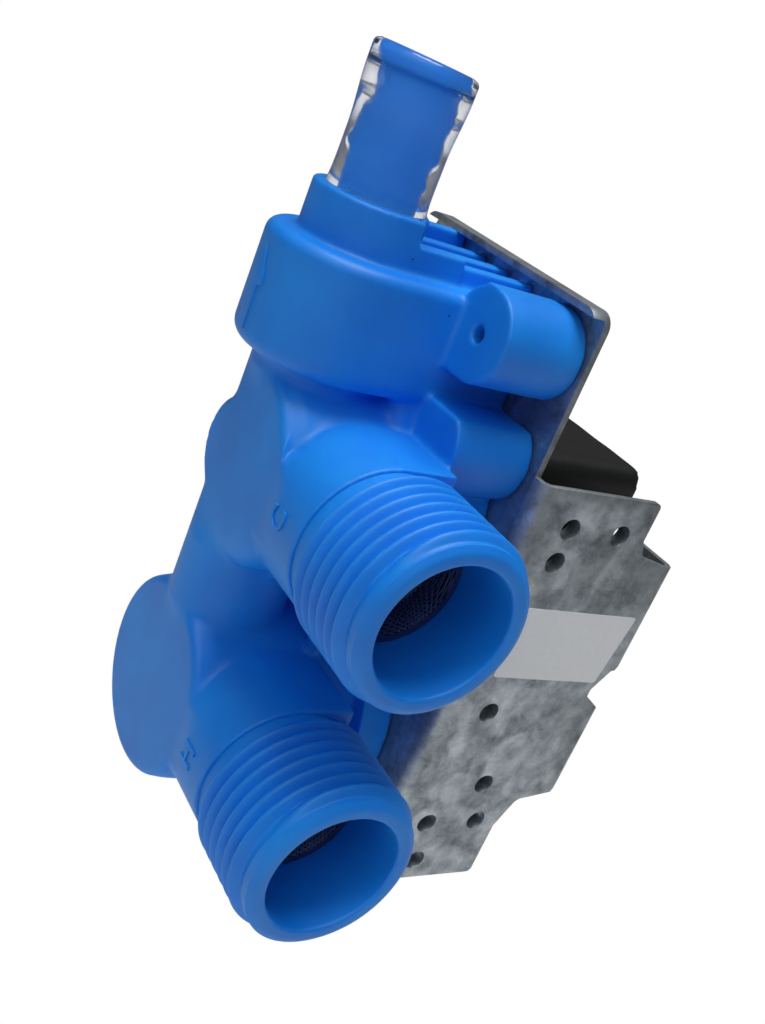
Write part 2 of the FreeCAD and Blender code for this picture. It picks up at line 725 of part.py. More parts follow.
# Bracket: web, panel flange and return, folded from one sheet
def bracket():
    web_right = "(web_side + sheet)"
    bend = "(bend_inside + sheet)"
    section = [
        ("web_side", "web_back"), ("web_side", bend), ("web_side + bend_inside", "sheet / 2"),
        ("web_side + " + bend, 0),
        ("flange_right - " + bend, 0), ("flange_right - sheet / 2", "bend_inside"),
        ("flange_right", bend), ("flange_right", "return_depth"),
        ("flange_right - sheet", "return_depth"), ("flange_right - sheet", bend),
        ("flange_right - " + bend, "sheet"), ("web_side + " + bend, "sheet"),
        (web_right, bend), (web_right, "web_back"),
    ]
    channel = slab("channel", "XY", section, "-web_low", "web_high")
    # What the blank lacks: above the flange, and the stepped right-hand outline
    above = block(
        "above_flange", ("web_side - 1", "flange_right + 1"), ("-1", "web_front"),
        ("flange_high", "web_high + 1"),
    )
    above_return = block(
        "above_return", (web_right + " + 1", "flange_right + 1"), ("-1", "return_depth + 1"),
        ("flange_high", "web_high + 1"),
    )
    below = block(
        "below_flange", (web_right + " + " + bend, "flange_right + 1"), ("-1", "return_depth + 1"),
        ("-web_low - 1", "-flange_low"),
    )
    right = "flange_right + 1"
    steps = [
        ("flange_right - shelf_in", "flange_high + 1"),
        ("flange_right - shelf_in", "shelf_high + shelf_rise"),
        ("flange_right - shelf_in + shelf_round", "shelf_high + shelf_round"),
        ("flange_right - " + bend, "shelf_high"),
        (right, "shelf_high"), (right, "flange_high + 1"),
    ]
    notch = [
        (right, "notch_high"), ("flange_right - notch_in / 2", "notch_high - sheet"),
        ("flange_right - notch_in", "-notch_low + notch_ramp + notch_flat"),
        ("flange_right - notch_in", "-notch_low + notch_ramp"),
        ("flange_right", "-notch_low"), (right, "-notch_low"),
    ]
    foot = [
        (right, "-foot_high + foot_slope"), ("flange_right", "-foot_high + foot_slope"),
        ("flange_right - foot_in", "-foot_high - foot_slope"), ("flange_right - toe_in", "-toe_high"),
        ("flange_right - toe_in", "-flange_low - 1"), (right, "-flange_low - 1"),
    ]
    trims = [
        slab("shelf_trim", "XZ", steps, "-1", "return_depth + 1"),
        slab("notch_trim", "XZ", notch, "-1", "return_depth + 1"),
        slab("foot_trim", "XZ", foot, "-1", "return_depth + 1"),
    ]
    blank = cut("blank", channel, above, above_return, below, *trims)
    lip = block(
        "web_lip", ("web_side - lip_reach", web_right), ("web_front", "web_back"),
        ("web_high - sheet", "web_high"),
    )
    holes, collars = [], []
    spots = []
    for side in (-1, 1):
        for end in (-1, 1):
            spots.append((f"inlet_side + {side} * screw_across / 2", f"{end} * screw_along / 2"))
    for spare in SPARE_HOLES:
        spots.append((spare + "_right", spare + "_high"))
    for n, (right_of, high) in enumerate(spots, start=1):
        top = "sheet + collar_depth"
        collars.append(bar(f"collar_{n}", "Y", "collar_diameter", "sheet / 2", top, right_of, high))
        holes.append(bar(f"panel_hole_{n}", "Y", "screw_hole", -1, top + " + 1", right_of, high))
    for name, (back, high, left, diameter) in BOSSES.items():
        holes.append(bar(
            name + "_web_hole", "X", "screw_diameter + 2 * fitting_gap", "web_side - 1",
            web_right + " + 1", back, high,
        ))
    for name, high in (("cold", COLD_HIGH), ("hot", HOT_HIGH)):
        holes.append(bar(
            name + "_guide_hole", "X", "guide_diameter + 2 * fitting_gap", "web_side - 1",
            web_right + " + 1", "chamber_back", high,
        ))
    folded = fused("folded", blank, lip, *collars)
    pierced = cut("pierced", folded, *holes)
    corner_x = size("web_side")
    doc.recompute()

    def web_corners(edge):
        box = edge.BoundBox
        thin = box.YLength < 1e-6 and box.ZLength < 1e-6 and 0.5 < box.XLength
        at_end = min(abs(box.YMin - size("web_front")), abs(box.YMin - size("web_back"))) < 1e-6
        on_top = min(abs(box.ZMin - size("web_high")), abs(box.ZMin + size("web_low"))) < 1e-6
        return thin and at_end and on_top and abs(box.XMin - corner_x) < size("lip_reach") + 1

    return piece("bracket", rounded("bracket_soft", pierced, size("web_corner"), web_corners))


def strainer(label, high):
    """A mesh cup that hangs inward from a rim on the ledge in the inlet."""
    ledge = "(strainer_depth - mouth_reach)"
    foot = f"({ledge} + strainer_reach)"
    cup = "strainer_cup / 2"
    profile = [
        (f"{ledge} - strainer_wall", f"{cup} - 0.4"), (f"{ledge} - strainer_wall", "strainer_rim / 2"),
        (ledge, "strainer_rim / 2"), (ledge, cup), (f"{foot} - 0.7", f"{cup} - 1.2"),
        (foot, f"{cup} - 1.9"), (foot, 0), (f"{foot} - strainer_wall", 0),
        (f"{foot} - strainer_wall", f"{cup} - 2.1"), (f"{foot} - 0.9", f"{cup} - 1.6"),
    ]
    return piece(label, turned(label + "_cup", "Y", 0, high, profile))


def flow_washer(label, high):
    """A rubber ring that steadies the flow, seated at the end of its bore."""
    end = "(strainer_depth - mouth_reach + washer_bore_depth)"
    start = f"({end} - washer_thickness)"
    outside = "(washer_bore / 2 - fitting_gap)"
    profile = [
        (start, "washer_hole / 2 + 1"), (start, f"{outside} - 0.6"), (f"{start} + 0.6", outside),
        (end, outside), (end, "washer_hole / 2"), (f"{start} + 1.2", "washer_hole / 2"),
    ]
    return piece(label, turned(label + "_ring", "Y", 0, high, profile))


# Solenoid valves, whose pieces all share the chamber's axis
def diaphragm(label, high):
    """A rubber disc with a thick rim, a thin skin and a thick centre on the seat."""
    rim_end = "(web_side - bonnet_thickness)"
    rim_start = f"({rim_end} - diaphragm_rim)"
    centre = "diaphragm_centre / 2"
    hollow = "(chamber_diameter / 2 - chamber_wall - fitting_gap)"
    profile = [
        (rim_start, hollow), (rim_start, IN_RECESS), (rim_end, IN_RECESS), (rim_end, hollow),
        (f"{rim_start} + diaphragm_skin", f"{hollow} - 2 * fitting_gap"),
        ("seat_rim + diaphragm_rim", f"{centre} + 0.6"),
        ("seat_rim + diaphragm_rim", "insert_stem / 2 + fitting_gap"),
        ("seat_rim", "insert_stem / 2 + fitting_gap"),
        ("seat_rim", centre),
        ("seat_rim + diaphragm_rim - diaphragm_skin", f"{centre} + 0.6"),
    ]
    return piece(label, turned(label + "_disc", "X", "chamber_back", high, profile))


def insert(label, high):
    """The nylon centre of the diaphragm, with the pilot seat and its hole."""
    plate_start = "(seat_rim + diaphragm_rim)"
    plate_end = f"({plate_start} + insert_plate_depth)"
    seat_end = "(plunger_start - tip_proud)"
    profile = [
        ("seat_rim - insert_reach", "pilot_hole / 2"),
        ("seat_rim - insert_reach", "insert_stem / 2 - 0.8"),
        ("seat_rim - insert_reach + 0.8", "insert_stem / 2"),
        (plate_start, "insert_stem / 2"), (plate_start, "insert_plate / 2"),
        (plate_end, "insert_plate / 2"), (plate_end, "pilot_seat / 2 + 0.6"),
        (seat_end, "pilot_seat / 2"), (seat_end, "pilot_hole / 2"),
    ]
    return piece(label, turned(label + "_turned", "X", "chamber_back", high, profile))


def bonnet(label, high):
    """The nylon cover of the chamber and the closed guide tube for the plunger."""
    inner = "(web_side - bonnet_thickness)"
    profile = [
        (inner, "plunger_diameter / 2 + 4.2"), (inner, IN_RECESS), ("web_side", IN_RECESS),
        ("web_side", "guide_diameter / 2"),
        ("guide_end + guide_stub", "guide_diameter / 2"),
        ("guide_end + guide_stub", 0), ("guide_end - guide_roof", 0),
        ("guide_end - guide_roof", "plunger_diameter / 2 + plunger_play"),
        (f"{inner} + 1.6", "plunger_diameter / 2 + plunger_play"),
        (f"{inner} + 1.6", "plunger_diameter / 2 + 3.2"),
    ]
    return piece(label, turned(label + "_turned", "X", "chamber_back", high, profile))


def plunger(label, high):
    """A steel plunger with a well for its spring and a socket for its rubber tip."""
    end = "(plunger_start + plunger_length)"
    profile = [
        ("plunger_start", "tip_diameter / 2 + fitting_gap"),
        ("plunger_start", "plunger_diameter / 2 - 1.2"),
        ("plunger_start + 1.2", "plunger_diameter / 2"), (f"{end} - 0.5", "plunger_diameter / 2"),
        (end, "plunger_diameter / 2 - 0.5"), (end, "spring_well_diameter / 2"),
        (f"{end} - spring_well", "spring_well_diameter / 2"), (f"{end} - spring_well", 0),
        ("plunger_start + tip_depth", 0),
        ("plunger_start + tip_depth", "tip_diameter / 2 + fitting_gap"),
    ]
    return piece(label, turned(label + "_turned", "X", "chamber_back", high, profile))


def plunger_tip(label, high):
    """The rubber button that closes the pilot hole."""
    profile = [
        ("plunger_start - tip_proud", 0), ("plunger_start - tip_proud", "tip_diameter / 2 - 0.4"),
        ("plunger_start - tip_proud + 0.4", "tip_diameter / 2"),
        ("plunger_start + tip_depth", "tip_diameter / 2"), ("plunger_start + tip_depth", 0),
    ]
    return piece(label, turned(label + "_turned", "X", "chamber_back", high, profile))


def return_spring(label, high):
    """A coil spring from the plunger's well to the end of the guide tube."""
    start = "(plunger_start + plunger_length - spring_well + spring_wire / 2)"
    end = "(guide_end - guide_roof - spring_wire / 2)"
    path = doc.addObject("Part::Helix", label + "_path")
    path.Placement = FreeCAD.Placement(Vector(), ALONG["X"])
    bind(path, Radius="(spring_diameter - spring_wire) / 2")
    bind(path, Height=f"{end} - {start}", Pitch=f"({end} - {start}) / spring_turns")
    bind(path, x=start, y="chamber_back", z=high)
    wire = doc.addObject("Part::RegularPolygon", label + "_wire")
    wire.Polygon = 4
    bind(wire, Circumradius="spring_wire / 2")
    wire.Placement = FreeCAD.Placement(Vector(), Rotation(Vector(1, 0, 0), 90))
    bind(wire, x=start, y="chamber_back", z=f"{high} - (spring_diameter - spring_wire) / 2")
    sweep = doc.addObject("Part::Sweep", label + "_coil")
    sweep.Sections = [wire]
    sweep.Spine = (path, [])
    sweep.Solid = True
    sweep.Frenet = True
    return piece(label, sweep)


def coil(label, high):
    """The winding in its moulded cover, with a bore for the guide tube."""
    across = ("coil_front", "coil_front + coil_depth")
    along = (f"{high} - coil_height / 2", f"{high} + coil_height / 2")
    solid = block(label + "_block", ("coil_start", "coil_end"), across, along)
    doc.recompute()
    soft = rounded(
        label + "_soft", solid, size("coil_round"), lambda edge: edge.BoundBox.XLength > 1,
    )
    foot = "web_side + sheet + yoke_thickness"
    spigot = bar(label + "_spigot", "X", "coil_spigot", foot, "coil_start + 1", "chamber_back", high)
    bore = bar(
        label + "_bore", "X", "guide_diameter + 2 * fitting_gap", "coil_start - 4",
        "coil_end + 1", "chamber_back", high,
    )
    return piece(label, cut(label + "_cut", fused(label + "_whole", soft, spigot), bore))


def yoke(label, high):
    """A steel strap that closes the magnetic circuit round the back of the coil."""
    end = "(coil_end + yoke_thickness)"
    back = "(coil_front + coil_depth + coil_gap)"
    across = (f"{high} - yoke_width / 2", f"{high} + yoke_width / 2")
    deep = ("chamber_back - yoke_width / 2", f"{back} + yoke_thickness")
    cap = block(label + "_cap", ("coil_end", end), deep, across)
    leg = block(label + "_leg", ("web_side + sheet", end), (back, f"{back} + yoke_thickness"), across)
    base = ("web_side + sheet", "web_side + sheet + yoke_thickness")
    foot = block(label + "_foot", base, deep, across)
    through = bar(
        label + "_bore", "X", "guide_diameter + 2 * fitting_gap", "web_side", end + " + 1",
        "chamber_back", high,
    )
    return piece(label, cut(label + "_cut", fused(label + "_strap", cap, leg, foot), through))


def coil_clip(label, high):
    """A push-on ring that grips the end of the guide tube and holds the coil."""
    start = "(coil_end + yoke_thickness)"
    end = f"({start} + clip_thickness)"
    profile = [
        (start, "guide_diameter / 2 + clip_grip"), (start, "clip_diameter / 2"),
        (end, "clip_diameter / 2"), (end, "guide_diameter / 2 + 2"),
        (f"{end} + 0.5", "guide_diameter / 2 + clip_grip"),
    ]
    return piece(label, turned(label + "_turned", "X", "chamber_back", high, profile))


def terminals(label, high, side):
    """Two spade blades that stand out of the coil's back."""
    blades = []
    back = "coil_front + coil_depth"
    outer = f"{high} + {side} * (coil_height / 2 - blade_edge)"
    inner = f"{high} + {side} * (coil_height / 2 - blade_edge - blade_width)"
    for n, away in enumerate((-0.5, 0.5), start=1):
        middle = f"(coil_start + coil_end) / 2 + {away} * blade_spacing"
        blades.append(block(
            f"{label}_{n}",
            (f"{middle} - blade_thickness / 2", f"{middle} + blade_thickness / 2"),
            (back, f"{back} + blade_reach"),
            (inner, outer)[::side],
        ))
    holder = doc.addObject("Part::Compound", label + "_pair")
    holder.Links = blades
    return piece(label, holder)


def bracket_screws():
    """One hex-headed screw with a washer face for each boss."""
    screws = []
    face = "(web_side + sheet)"
    for name, (back, high, left, diameter) in BOSSES.items():
        top = face + " + washer_face_depth"
        washer = bar(name + "_washer_face", "X", "washer_face", face, top, back, high)
        head = doc.addObject("Part::Prism", name + "_head")
        head.Polygon = 6
        head.Placement = FreeCAD.Placement(Vector(), ALONG["X"])
        bind(head, Circumradius="head_diameter / 2", Height="head_height", x=face, y=back, z=high)
        shank = bar(name + "_shank", "X", "screw_diameter", f"{face} - screw_length", face, back, high)
        screws.append(fused(name + "_screw", washer, head, shank))
    holder = doc.addObject("Part::Compound", "bracket_screw_set")
    holder.Links = screws
    return piece("bracket_screws", holder)


def solenoid(name, high, side):
    """Everything that opens and closes one chamber."""
    diaphragm(name + "_diaphragm", high)
    insert(name + "_diaphragm_insert", high)
    bonnet(name + "_bonnet", high)
    plunger(name + "_plunger", high)
    plunger_tip(name + "_plunger_tip", high)
    return_spring(name + "_plunger_spring", high)
    coil(name + "_coil", high)
    yoke(name + "_yoke", high)
    coil_clip(name + "_coil_clip", high)
    terminals(name + "_terminals", high, side)


valve_body()
outlet_tube()
outlet_sleeve()
bracket()
for side_name, side_high, outward in (("cold", COLD_HIGH, 1), ("hot", HOT_HIGH, -1)):
    inlet_spigot(side_name + "_inlet_spigot", side_high)
    strainer(side_name + "_strainer", side_high)
    flow_washer(side_name + "_flow_washer", side_high)
    solenoid(side_name, side_high, outward)
bracket_screws()
doc.recompute()

for thing in doc.Objects:
    if "Invalid" in thing.State or "Error" in thing.State:
        raise SystemExit(f"{thing.Name} is {thing.State}")
os.makedirs("parts", exist_ok=True)
for thing in pieces:
    shape = thing.Shape
    if shape.isNull() or not shape.isValid() or not shape.Solids:
        raise SystemExit(f"{thing.Label} has no valid solid")
    print(f"{thing.Label}: {len(shape.Solids)} solids, {shape.Volume:.1f} mm3")
    shape.exportStep(f"parts/{thing.Label}.step")
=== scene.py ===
# %% [markdown]
# # A washing machine's water inlet valve
# The valve is one blue moulding with two threaded inlets and a hose outlet.
# A folded steel bracket carries it, and two black solenoid coils open it.
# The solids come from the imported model, and this lesson gives them their looks.
# Every shape is drawn in millimetres, as a maker would, and turned to metres at the end.

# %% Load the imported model
import math
import bmesh
import bpy
import numpy as np
from mathutils import Matrix, Vector, noise


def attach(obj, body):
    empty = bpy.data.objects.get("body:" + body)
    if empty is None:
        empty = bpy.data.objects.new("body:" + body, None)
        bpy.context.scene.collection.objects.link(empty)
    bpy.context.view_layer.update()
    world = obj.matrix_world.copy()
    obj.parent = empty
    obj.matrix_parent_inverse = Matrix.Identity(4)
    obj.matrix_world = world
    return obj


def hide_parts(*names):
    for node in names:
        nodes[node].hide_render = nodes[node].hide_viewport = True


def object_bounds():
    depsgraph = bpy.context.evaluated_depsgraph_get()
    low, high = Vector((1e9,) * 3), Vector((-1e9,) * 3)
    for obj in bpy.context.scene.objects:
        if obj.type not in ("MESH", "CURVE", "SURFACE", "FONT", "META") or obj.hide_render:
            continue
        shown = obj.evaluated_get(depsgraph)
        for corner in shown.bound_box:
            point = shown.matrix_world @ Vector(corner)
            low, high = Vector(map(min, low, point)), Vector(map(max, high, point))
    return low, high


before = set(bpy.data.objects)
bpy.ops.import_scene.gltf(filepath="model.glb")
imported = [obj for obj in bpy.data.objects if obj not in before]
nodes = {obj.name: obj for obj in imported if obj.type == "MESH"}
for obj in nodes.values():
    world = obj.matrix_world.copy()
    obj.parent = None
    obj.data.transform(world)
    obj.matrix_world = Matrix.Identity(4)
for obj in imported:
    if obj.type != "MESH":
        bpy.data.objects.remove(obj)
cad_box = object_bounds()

MM = 0.001
print("nodes:", len(nodes), "box:", cad_box)

# %% [markdown]
# The camera stands where the photographer's did.
# Its place and its turn were worked out from the two threads, whose size is standard.

# %% Camera
camera_data = bpy.data.cameras.new("photographer")
camera = bpy.data.objects.new("photographer", camera_data)
bpy.context.collection.objects.link(camera)
bpy.context.scene.camera = camera
camera_data.lens = 40.95
camera_data.sensor_width = 36.0
# The nearest thing that shows, 5 mm from the lens
camera_data.clip_start = 5 * MM
right = Vector((0.81188938, -0.45800061, 0.36203739))
up = Vector((-0.10272476, 0.49838132, 0.86085056))
back = Vector((-0.57470275, -0.73610563, 0.3575825))
turn = Matrix((right, up, back)).transposed().to_4x4()
stand = Vector((-123.412, -109.445, 79.755)) * MM
camera.matrix_world = Matrix.Translation(stand) @ turn
print("camera at", tuple(round(v, 4) for v in camera.matrix_world.translation))

# %% [markdown]
# The valve's own lines, in millimetres.
# Both inlets open towards -Y, one above the other, and the outlet tube points up.
# The plunger axes run along X from the chambers into the coils.

# %% The lines that the pieces share
INLET_X = -34.9
COLD_Z = 19.425
HOT_Z = -19.425
MOUTH_Y = -17.0
OUTLET_X = -38.3
CHAMBER_Y = 27.5
RISER_TOP = COLD_Z + 40.4
TUBE_TOP = COLD_Z + 59.0
print("inlets at", INLET_X, COLD_Z, HOT_Z, "outlet at", OUTLET_X, CHAMBER_Y)

# %% [markdown]
# Colours are written as sRGB hex, as a colour picker shows them.
# One function turns them into the linear values that the shader wants.
# Another adds a node with its settings and links, so each material reads as a short list.
# An input is given by its name, or by its number where several have one name.

# %% Helpers for materials


def linear(hex_colour):
    """The linear colour of an sRGB hex value."""
    channels = [int(hex_colour[i:i + 2], 16) / 255 for i in (1, 3, 5)]
    curve = [c / 12.92 if c <= 0.04045 else ((c + 0.055) / 1.055) ** 2.4 for c in channels]
    return (*curve, 1.0)


def add_node(material, kind, settings=None, **inputs):
    """Adds a node; an input is a value, a hex colour or a (node, output) link."""
    tree = material.node_tree
    node = tree.nodes.new("ShaderNode" + kind)
    for name, value in (settings or {}).items():
        setattr(node, name, value)
    for name, value in inputs.items():
        key = int(name[1:]) if name[1:].isdigit() else name.replace("_", " ")
        if isinstance(value, tuple) and hasattr(value[0], "outputs"):
            tree.links.new(value[0].outputs[value[1]], node.inputs[key])
        elif isinstance(value, str):
            node.inputs[key].default_value = linear(value)
        else:
            node.inputs[key].default_value = value
    return node


def new_material(name):
    """An empty material, and the link that gives the place on the piece."""
    material = bpy.data.materials.new(name)
    material.use_nodes = True
    material.node_tree.nodes.clear()
    place = add_node(material, "TexCoord")
    return material, (place, "Object")


# %% [markdown]
# The moulding is polypropylene, dyed a saturated blue and moulded in a fine blasted steel mould.
# Polypropylene is a little milky, so light runs into it for a millimetre or so.
# That keeps its edges bright and its hollows blue, and subsurface weight gives it.
# The blasting leaves a satin gloss, and the melt leaves faint clouds and a rare dark speck.

# %% Moulded blue polypropylene
BLUE, place = new_material("moulded_blue_polypropylene")
# Clouds of the melt are about 12 mm wide
flow = add_node(BLUE, "TexNoise", Vector=place, Scale=1 / 0.012, Detail=2.0)
cloud = add_node(BLUE, "MapRange", Value=(flow, "Fac"), From_Min=0.3, From_Max=0.7)
tint = add_node(BLUE, "Mix", {"data_type": "RGBA"}, i0=(cloud, "Result"), i6="#0881e8", i7="#1290f4")
# A speck of burnt resin is 0.3 mm wide, and few of the 7 mm cells have one
cells = add_node(BLUE, "TexVoronoi", Vector=place, Scale=1 / 0.007)
near = add_node(BLUE, "Math", {"operation": "LESS_THAN"}, i0=(cells, "Distance"), i1=0.02)
pick = add_node(BLUE, "SeparateColor", Color=(cells, "Color"))
some = add_node(BLUE, "Math", {"operation": "GREATER_THAN"}, i0=(pick, "Red"), i1=0.8)
speck = add_node(BLUE, "Math", {"operation": "MULTIPLY"}, i0=(near, "Value"), i1=(some, "Value"))
dyed = add_node(BLUE, "Mix", {"data_type": "RGBA"}, i0=(speck, "Value"), i6=(tint, 2), i7="#06163a")
# The blasted grain is 0.1 mm, drawn at 0.4 mm so that it shows
grain = add_node(BLUE, "TexNoise", Vector=place, Scale=1 / 0.0004, Detail=2.0)
relief = add_node(BLUE, "Bump", Strength=0.12, Distance=0.00003, Height=(grain, "Fac"))
worn = add_node(BLUE, "MapRange", Value=(flow, "Fac"), To_Min=0.44, To_Max=0.54)
shader = add_node(
    BLUE, "BsdfPrincipled", {"subsurface_method": "RANDOM_WALK"},
    Base_Color=(dyed, 2), Roughness=(worn, "Result"), IOR=1.49, Specular_IOR_Level=0.5,
    Subsurface_Weight=0.3, Subsurface_Radius=(0.02, 0.35, 1.0), Subsurface_Scale=0.0015,
    Normal=(relief, "Normal"),
)
add_node(BLUE, "OutputMaterial", Surface=(shader, "BSDF"))
print("made", BLUE.name)

# %% [markdown]
# The bracket is hot-dip galvanised sheet, folded after coating.
# Zinc freezes in patches that reflect differently, and handling dulls and stains them.
# So the colour and the gloss both follow a patchwork of cells, broken up by a finer cloud.

# %% Galvanised steel sheet
STEEL, place = new_material("galvanised_steel_sheet")
# Zinc patches are about 3 mm wide, and the stain's clouds 4 mm
patch = add_node(
    STEEL, "TexVoronoi", {"feature": "SMOOTH_F1"}, Vector=place, Scale=1 / 0.003, Smoothness=0.6,
)
shade = add_node(STEEL, "SeparateColor", Color=(patch, "Color"))
stain = add_node(
    STEEL, "TexNoise", Vector=place, Scale=1 / 0.004, Detail=11.0, Roughness=0.8, Distortion=0.3,
)
blend = add_node(STEEL, "Math", {"operation": "MULTIPLY_ADD"}, i0=(shade, "Red"), i1=0.22, i2=(stain, "Fac"))
tone = add_node(STEEL, "MapRange", Value=(blend, "Value"), From_Min=0.36, From_Max=0.86)
zinc = add_node(STEEL, "Mix", {"data_type": "RGBA"}, i0=(tone, "Result"), i6="#6b747b", i7="#d0d8de")
gloss = add_node(STEEL, "MapRange", Value=(tone, "Result"), To_Min=0.58, To_Max=0.36)
pits = add_node(STEEL, "TexNoise", Vector=place, Scale=1 / 0.0006, Detail=3.0)
relief = add_node(STEEL, "Bump", Strength=0.25, Distance=0.00004, Height=(pits, "Fac"))
shader = add_node(
    STEEL, "BsdfPrincipled", Base_Color=(zinc, 2), Metallic=0.9,
    Roughness=(gloss, "Result"), Normal=(relief, "Normal"),
)
add_node(STEEL, "OutputMaterial", Surface=(shader, "BSDF"))
print("made", STEEL.name)

# %% [markdown]
# Each coil is wound, then over-moulded in black glass-filled resin.
# The glass fibres make it matte and slightly grey, with a coarse orange-peel skin.

# %% Over-moulded black resin
BLACK, place = new_material("moulded_black_glass_filled_resin")
peel = add_node(BLACK, "TexNoise", Vector=place, Scale=1 / 0.0009, Detail=4.0)
tone = add_node(BLACK, "MapRange", Value=(peel, "Fac"), From_Min=0.3, From_Max=0.7)
dye = add_node(BLACK, "Mix", {"data_type": "RGBA"}, i0=(tone, "Result"), i6="#050607", i7="#0e1012")
relief = add_node(BLACK, "Bump", Strength=0.35, Distance=0.00008, Height=(peel, "Fac"))
shader = add_node(
    BLACK, "BsdfPrincipled", Base_Color=(dye, 2), Roughness=0.5, IOR=1.5,
    Normal=(relief, "Normal"),
)
add_node(BLACK, "OutputMaterial", Surface=(shader, "BSDF"))
print("made", BLACK.name)

# %% [markdown]
# The hidden pieces get finishes too: somebody may open the valve.
# Seals are moulded nitrile rubber, dull and almost black.
# Bonnets are natural nylon, warm white and satin.

# %% Rubber and nylon
RUBBER, place = new_material("moulded_nitrile_rubber")
bloom = add_node(RUBBER, "TexNoise", Vector=place, Scale=1 / 0.002, Detail=3.0)
dye = add_node(RUBBER, "Mix", {"data_type": "RGBA"}, i0=(bloom, "Fac"), i6="#141414", i7="#2a2a2a")
shader = add_node(RUBBER, "BsdfPrincipled", Base_Color=(dye, 2), Roughness=0.7, IOR=1.52)
add_node(RUBBER, "OutputMaterial", Surface=(shader, "BSDF"))

NYLON, place = new_material("moulded_natural_nylon")
flow = add_node(NYLON, "TexNoise", Vector=place, Scale=1 / 0.006, Detail=3.0)
dye = add_node(NYLON, "Mix", {"data_type": "RGBA"}, i0=(flow, "Fac"), i6="#cfcdc0", i7="#e6e4d8")
shader = add_node(
    NYLON, "BsdfPrincipled", Base_Color=(dye, 2), Roughness=0.42, IOR=1.53,
    Subsurface_Weight=0.2, Subsurface_Radius=(1.0, 0.9, 0.8), Subsurface_Scale=0.001,
)
add_node(NYLON, "OutputMaterial", Surface=(shader, "BSDF"))
print("made", RUBBER.name, "and", NYLON.name)

# %% [markdown]
# Yokes, clips and screws are zinc plated, which is brighter and bluer than galvanised sheet.
# The spade blades are tinned brass, and the strainer is woven from fine stainless wire.

# %% Plated steel and tinned brass
PLATED, place = new_material("zinc_plated_steel")
cloud = add_node(PLATED, "TexNoise", Vector=place, Scale=1 / 0.002, Detail=5.0)
dye = add_node(PLATED, "Mix", {"data_type": "RGBA"}, i0=(cloud, "Fac"), i6="#8f9397", i7="#c3c6c8")
worn = add_node(PLATED, "MapRange", Value=(cloud, "Fac"), To_Min=0.25, To_Max=0.5)
shader = add_node(
    PLATED, "BsdfPrincipled", Base_Color=(dye, 2), Metallic=1.0, Roughness=(worn, "Result"),
)
add_node(PLATED, "OutputMaterial", Surface=(shader, "BSDF"))

BRASS, place = new_material("tinned_brass_strip")
# Rolling leaves fine lines along X, 0.3 mm apart
along = add_node(BRASS, "Mapping", Vector=place, Scale=(400.0, 3000.0, 3000.0))
lines = add_node(BRASS, "TexNoise", Vector=(along, "Vector"), Scale=1.0, Detail=2.0)
dye = add_node(BRASS, "Mix", {"data_type": "RGBA"}, i0=(lines, "Fac"), i6="#a59f8c", i7="#cfc9b6")
shader = add_node(BRASS, "BsdfPrincipled", Base_Color=(dye, 2), Metallic=1.0, Roughness=0.32)
add_node(BRASS, "OutputMaterial", Surface=(shader, "BSDF"))
print("made", PLATED.name, "and", BRASS.name)

# %% [markdown]
# A plain weave is two sets of wires that pass over and under each other.
# Two sine waves across X and Z draw the wires, and the larger of the two is the cloth.
# On the cup's steep side a third wave along the depth takes one wire's part.
# The real pitch is about 0.25 mm, and 0.4 mm is what the photograph resolves.

# %% Woven stainless wire
MESH, place = new_material("woven_stainless_wire")
WIRE_PITCH = 0.0004
# The third wave is at its lowest on the cup's floor
FLOOR_PHASE = 2.36
axes = add_node(MESH, "SeparateXYZ", Vector=place)
wires = []
for axis, phase in (("X", 0.0), ("Z", 0.0), ("Y", FLOOR_PHASE)):
    turns = add_node(
        MESH, "Math", {"operation": "MULTIPLY_ADD"}, i0=(axes, axis), i1=2 * math.pi / WIRE_PITCH, i2=phase,
    )
    wave = add_node(MESH, "Math", {"operation": "SINE"}, i0=(turns, "Value"))
    wires.append(add_node(MESH, "MapRange", Value=(wave, "Value"), From_Min=-0.3, From_Max=0.9))
pair = add_node(MESH, "Math", {"operation": "MAXIMUM"}, i0=(wires[0], "Result"), i1=(wires[1], "Result"))
weave = add_node(MESH, "Math", {"operation": "MAXIMUM"}, i0=(pair, "Value"), i1=(wires[2], "Result"))
# Between the wires the cloth is painted near black as painted shade of the dark bore behind the cup, and the
# wires are painted dark blue-grey as a painted reflection of the blue moulding
weave_painted_shade_and_reflection = add_node(MESH, "Mix", {"data_type": "RGBA"}, i0=(weave, "Value"), i6="#03040a", i7="#5a6484")
relief = add_node(MESH, "Bump", Strength=0.8, Distance=0.0001, Height=(weave, "Value"))
shader = add_node(
    MESH, "BsdfPrincipled", Base_Color=(weave_painted_shade_and_reflection, 2), Metallic=0.9, Roughness=0.38,
    Normal=(relief, "Normal"),
)
add_node(MESH, "OutputMaterial", Surface=(shader, "BSDF"))
print("made", MESH.name)

# %% [markdown]
# The sleeve is soft clear PVC hose, extruded and a little hazy with age.
# It is real glass to the renderer, with the index of PVC, so the blue tube inside is magnified.
# The label's paper is satin, faintly mottled by its fibres.

# %% Clear hose and label paper
CLEAR, place = new_material("clear_soft_pvc_hose")
haze = add_node(CLEAR, "TexNoise", Vector=place, Scale=1 / 0.003, Detail=3.0)
dull = add_node(
    CLEAR, "MapRange", Value=(haze, "Fac"), From_Min=0.35, From_Max=0.65, To_Min=0.1, To_Max=0.18,
)
shader = add_node(
    CLEAR, "BsdfPrincipled", Base_Color="#f8fbff", Roughness=(dull, "Result"), IOR=1.5,
    Transmission_Weight=1.0,
)
add_node(CLEAR, "OutputMaterial", Surface=(shader, "BSDF"))

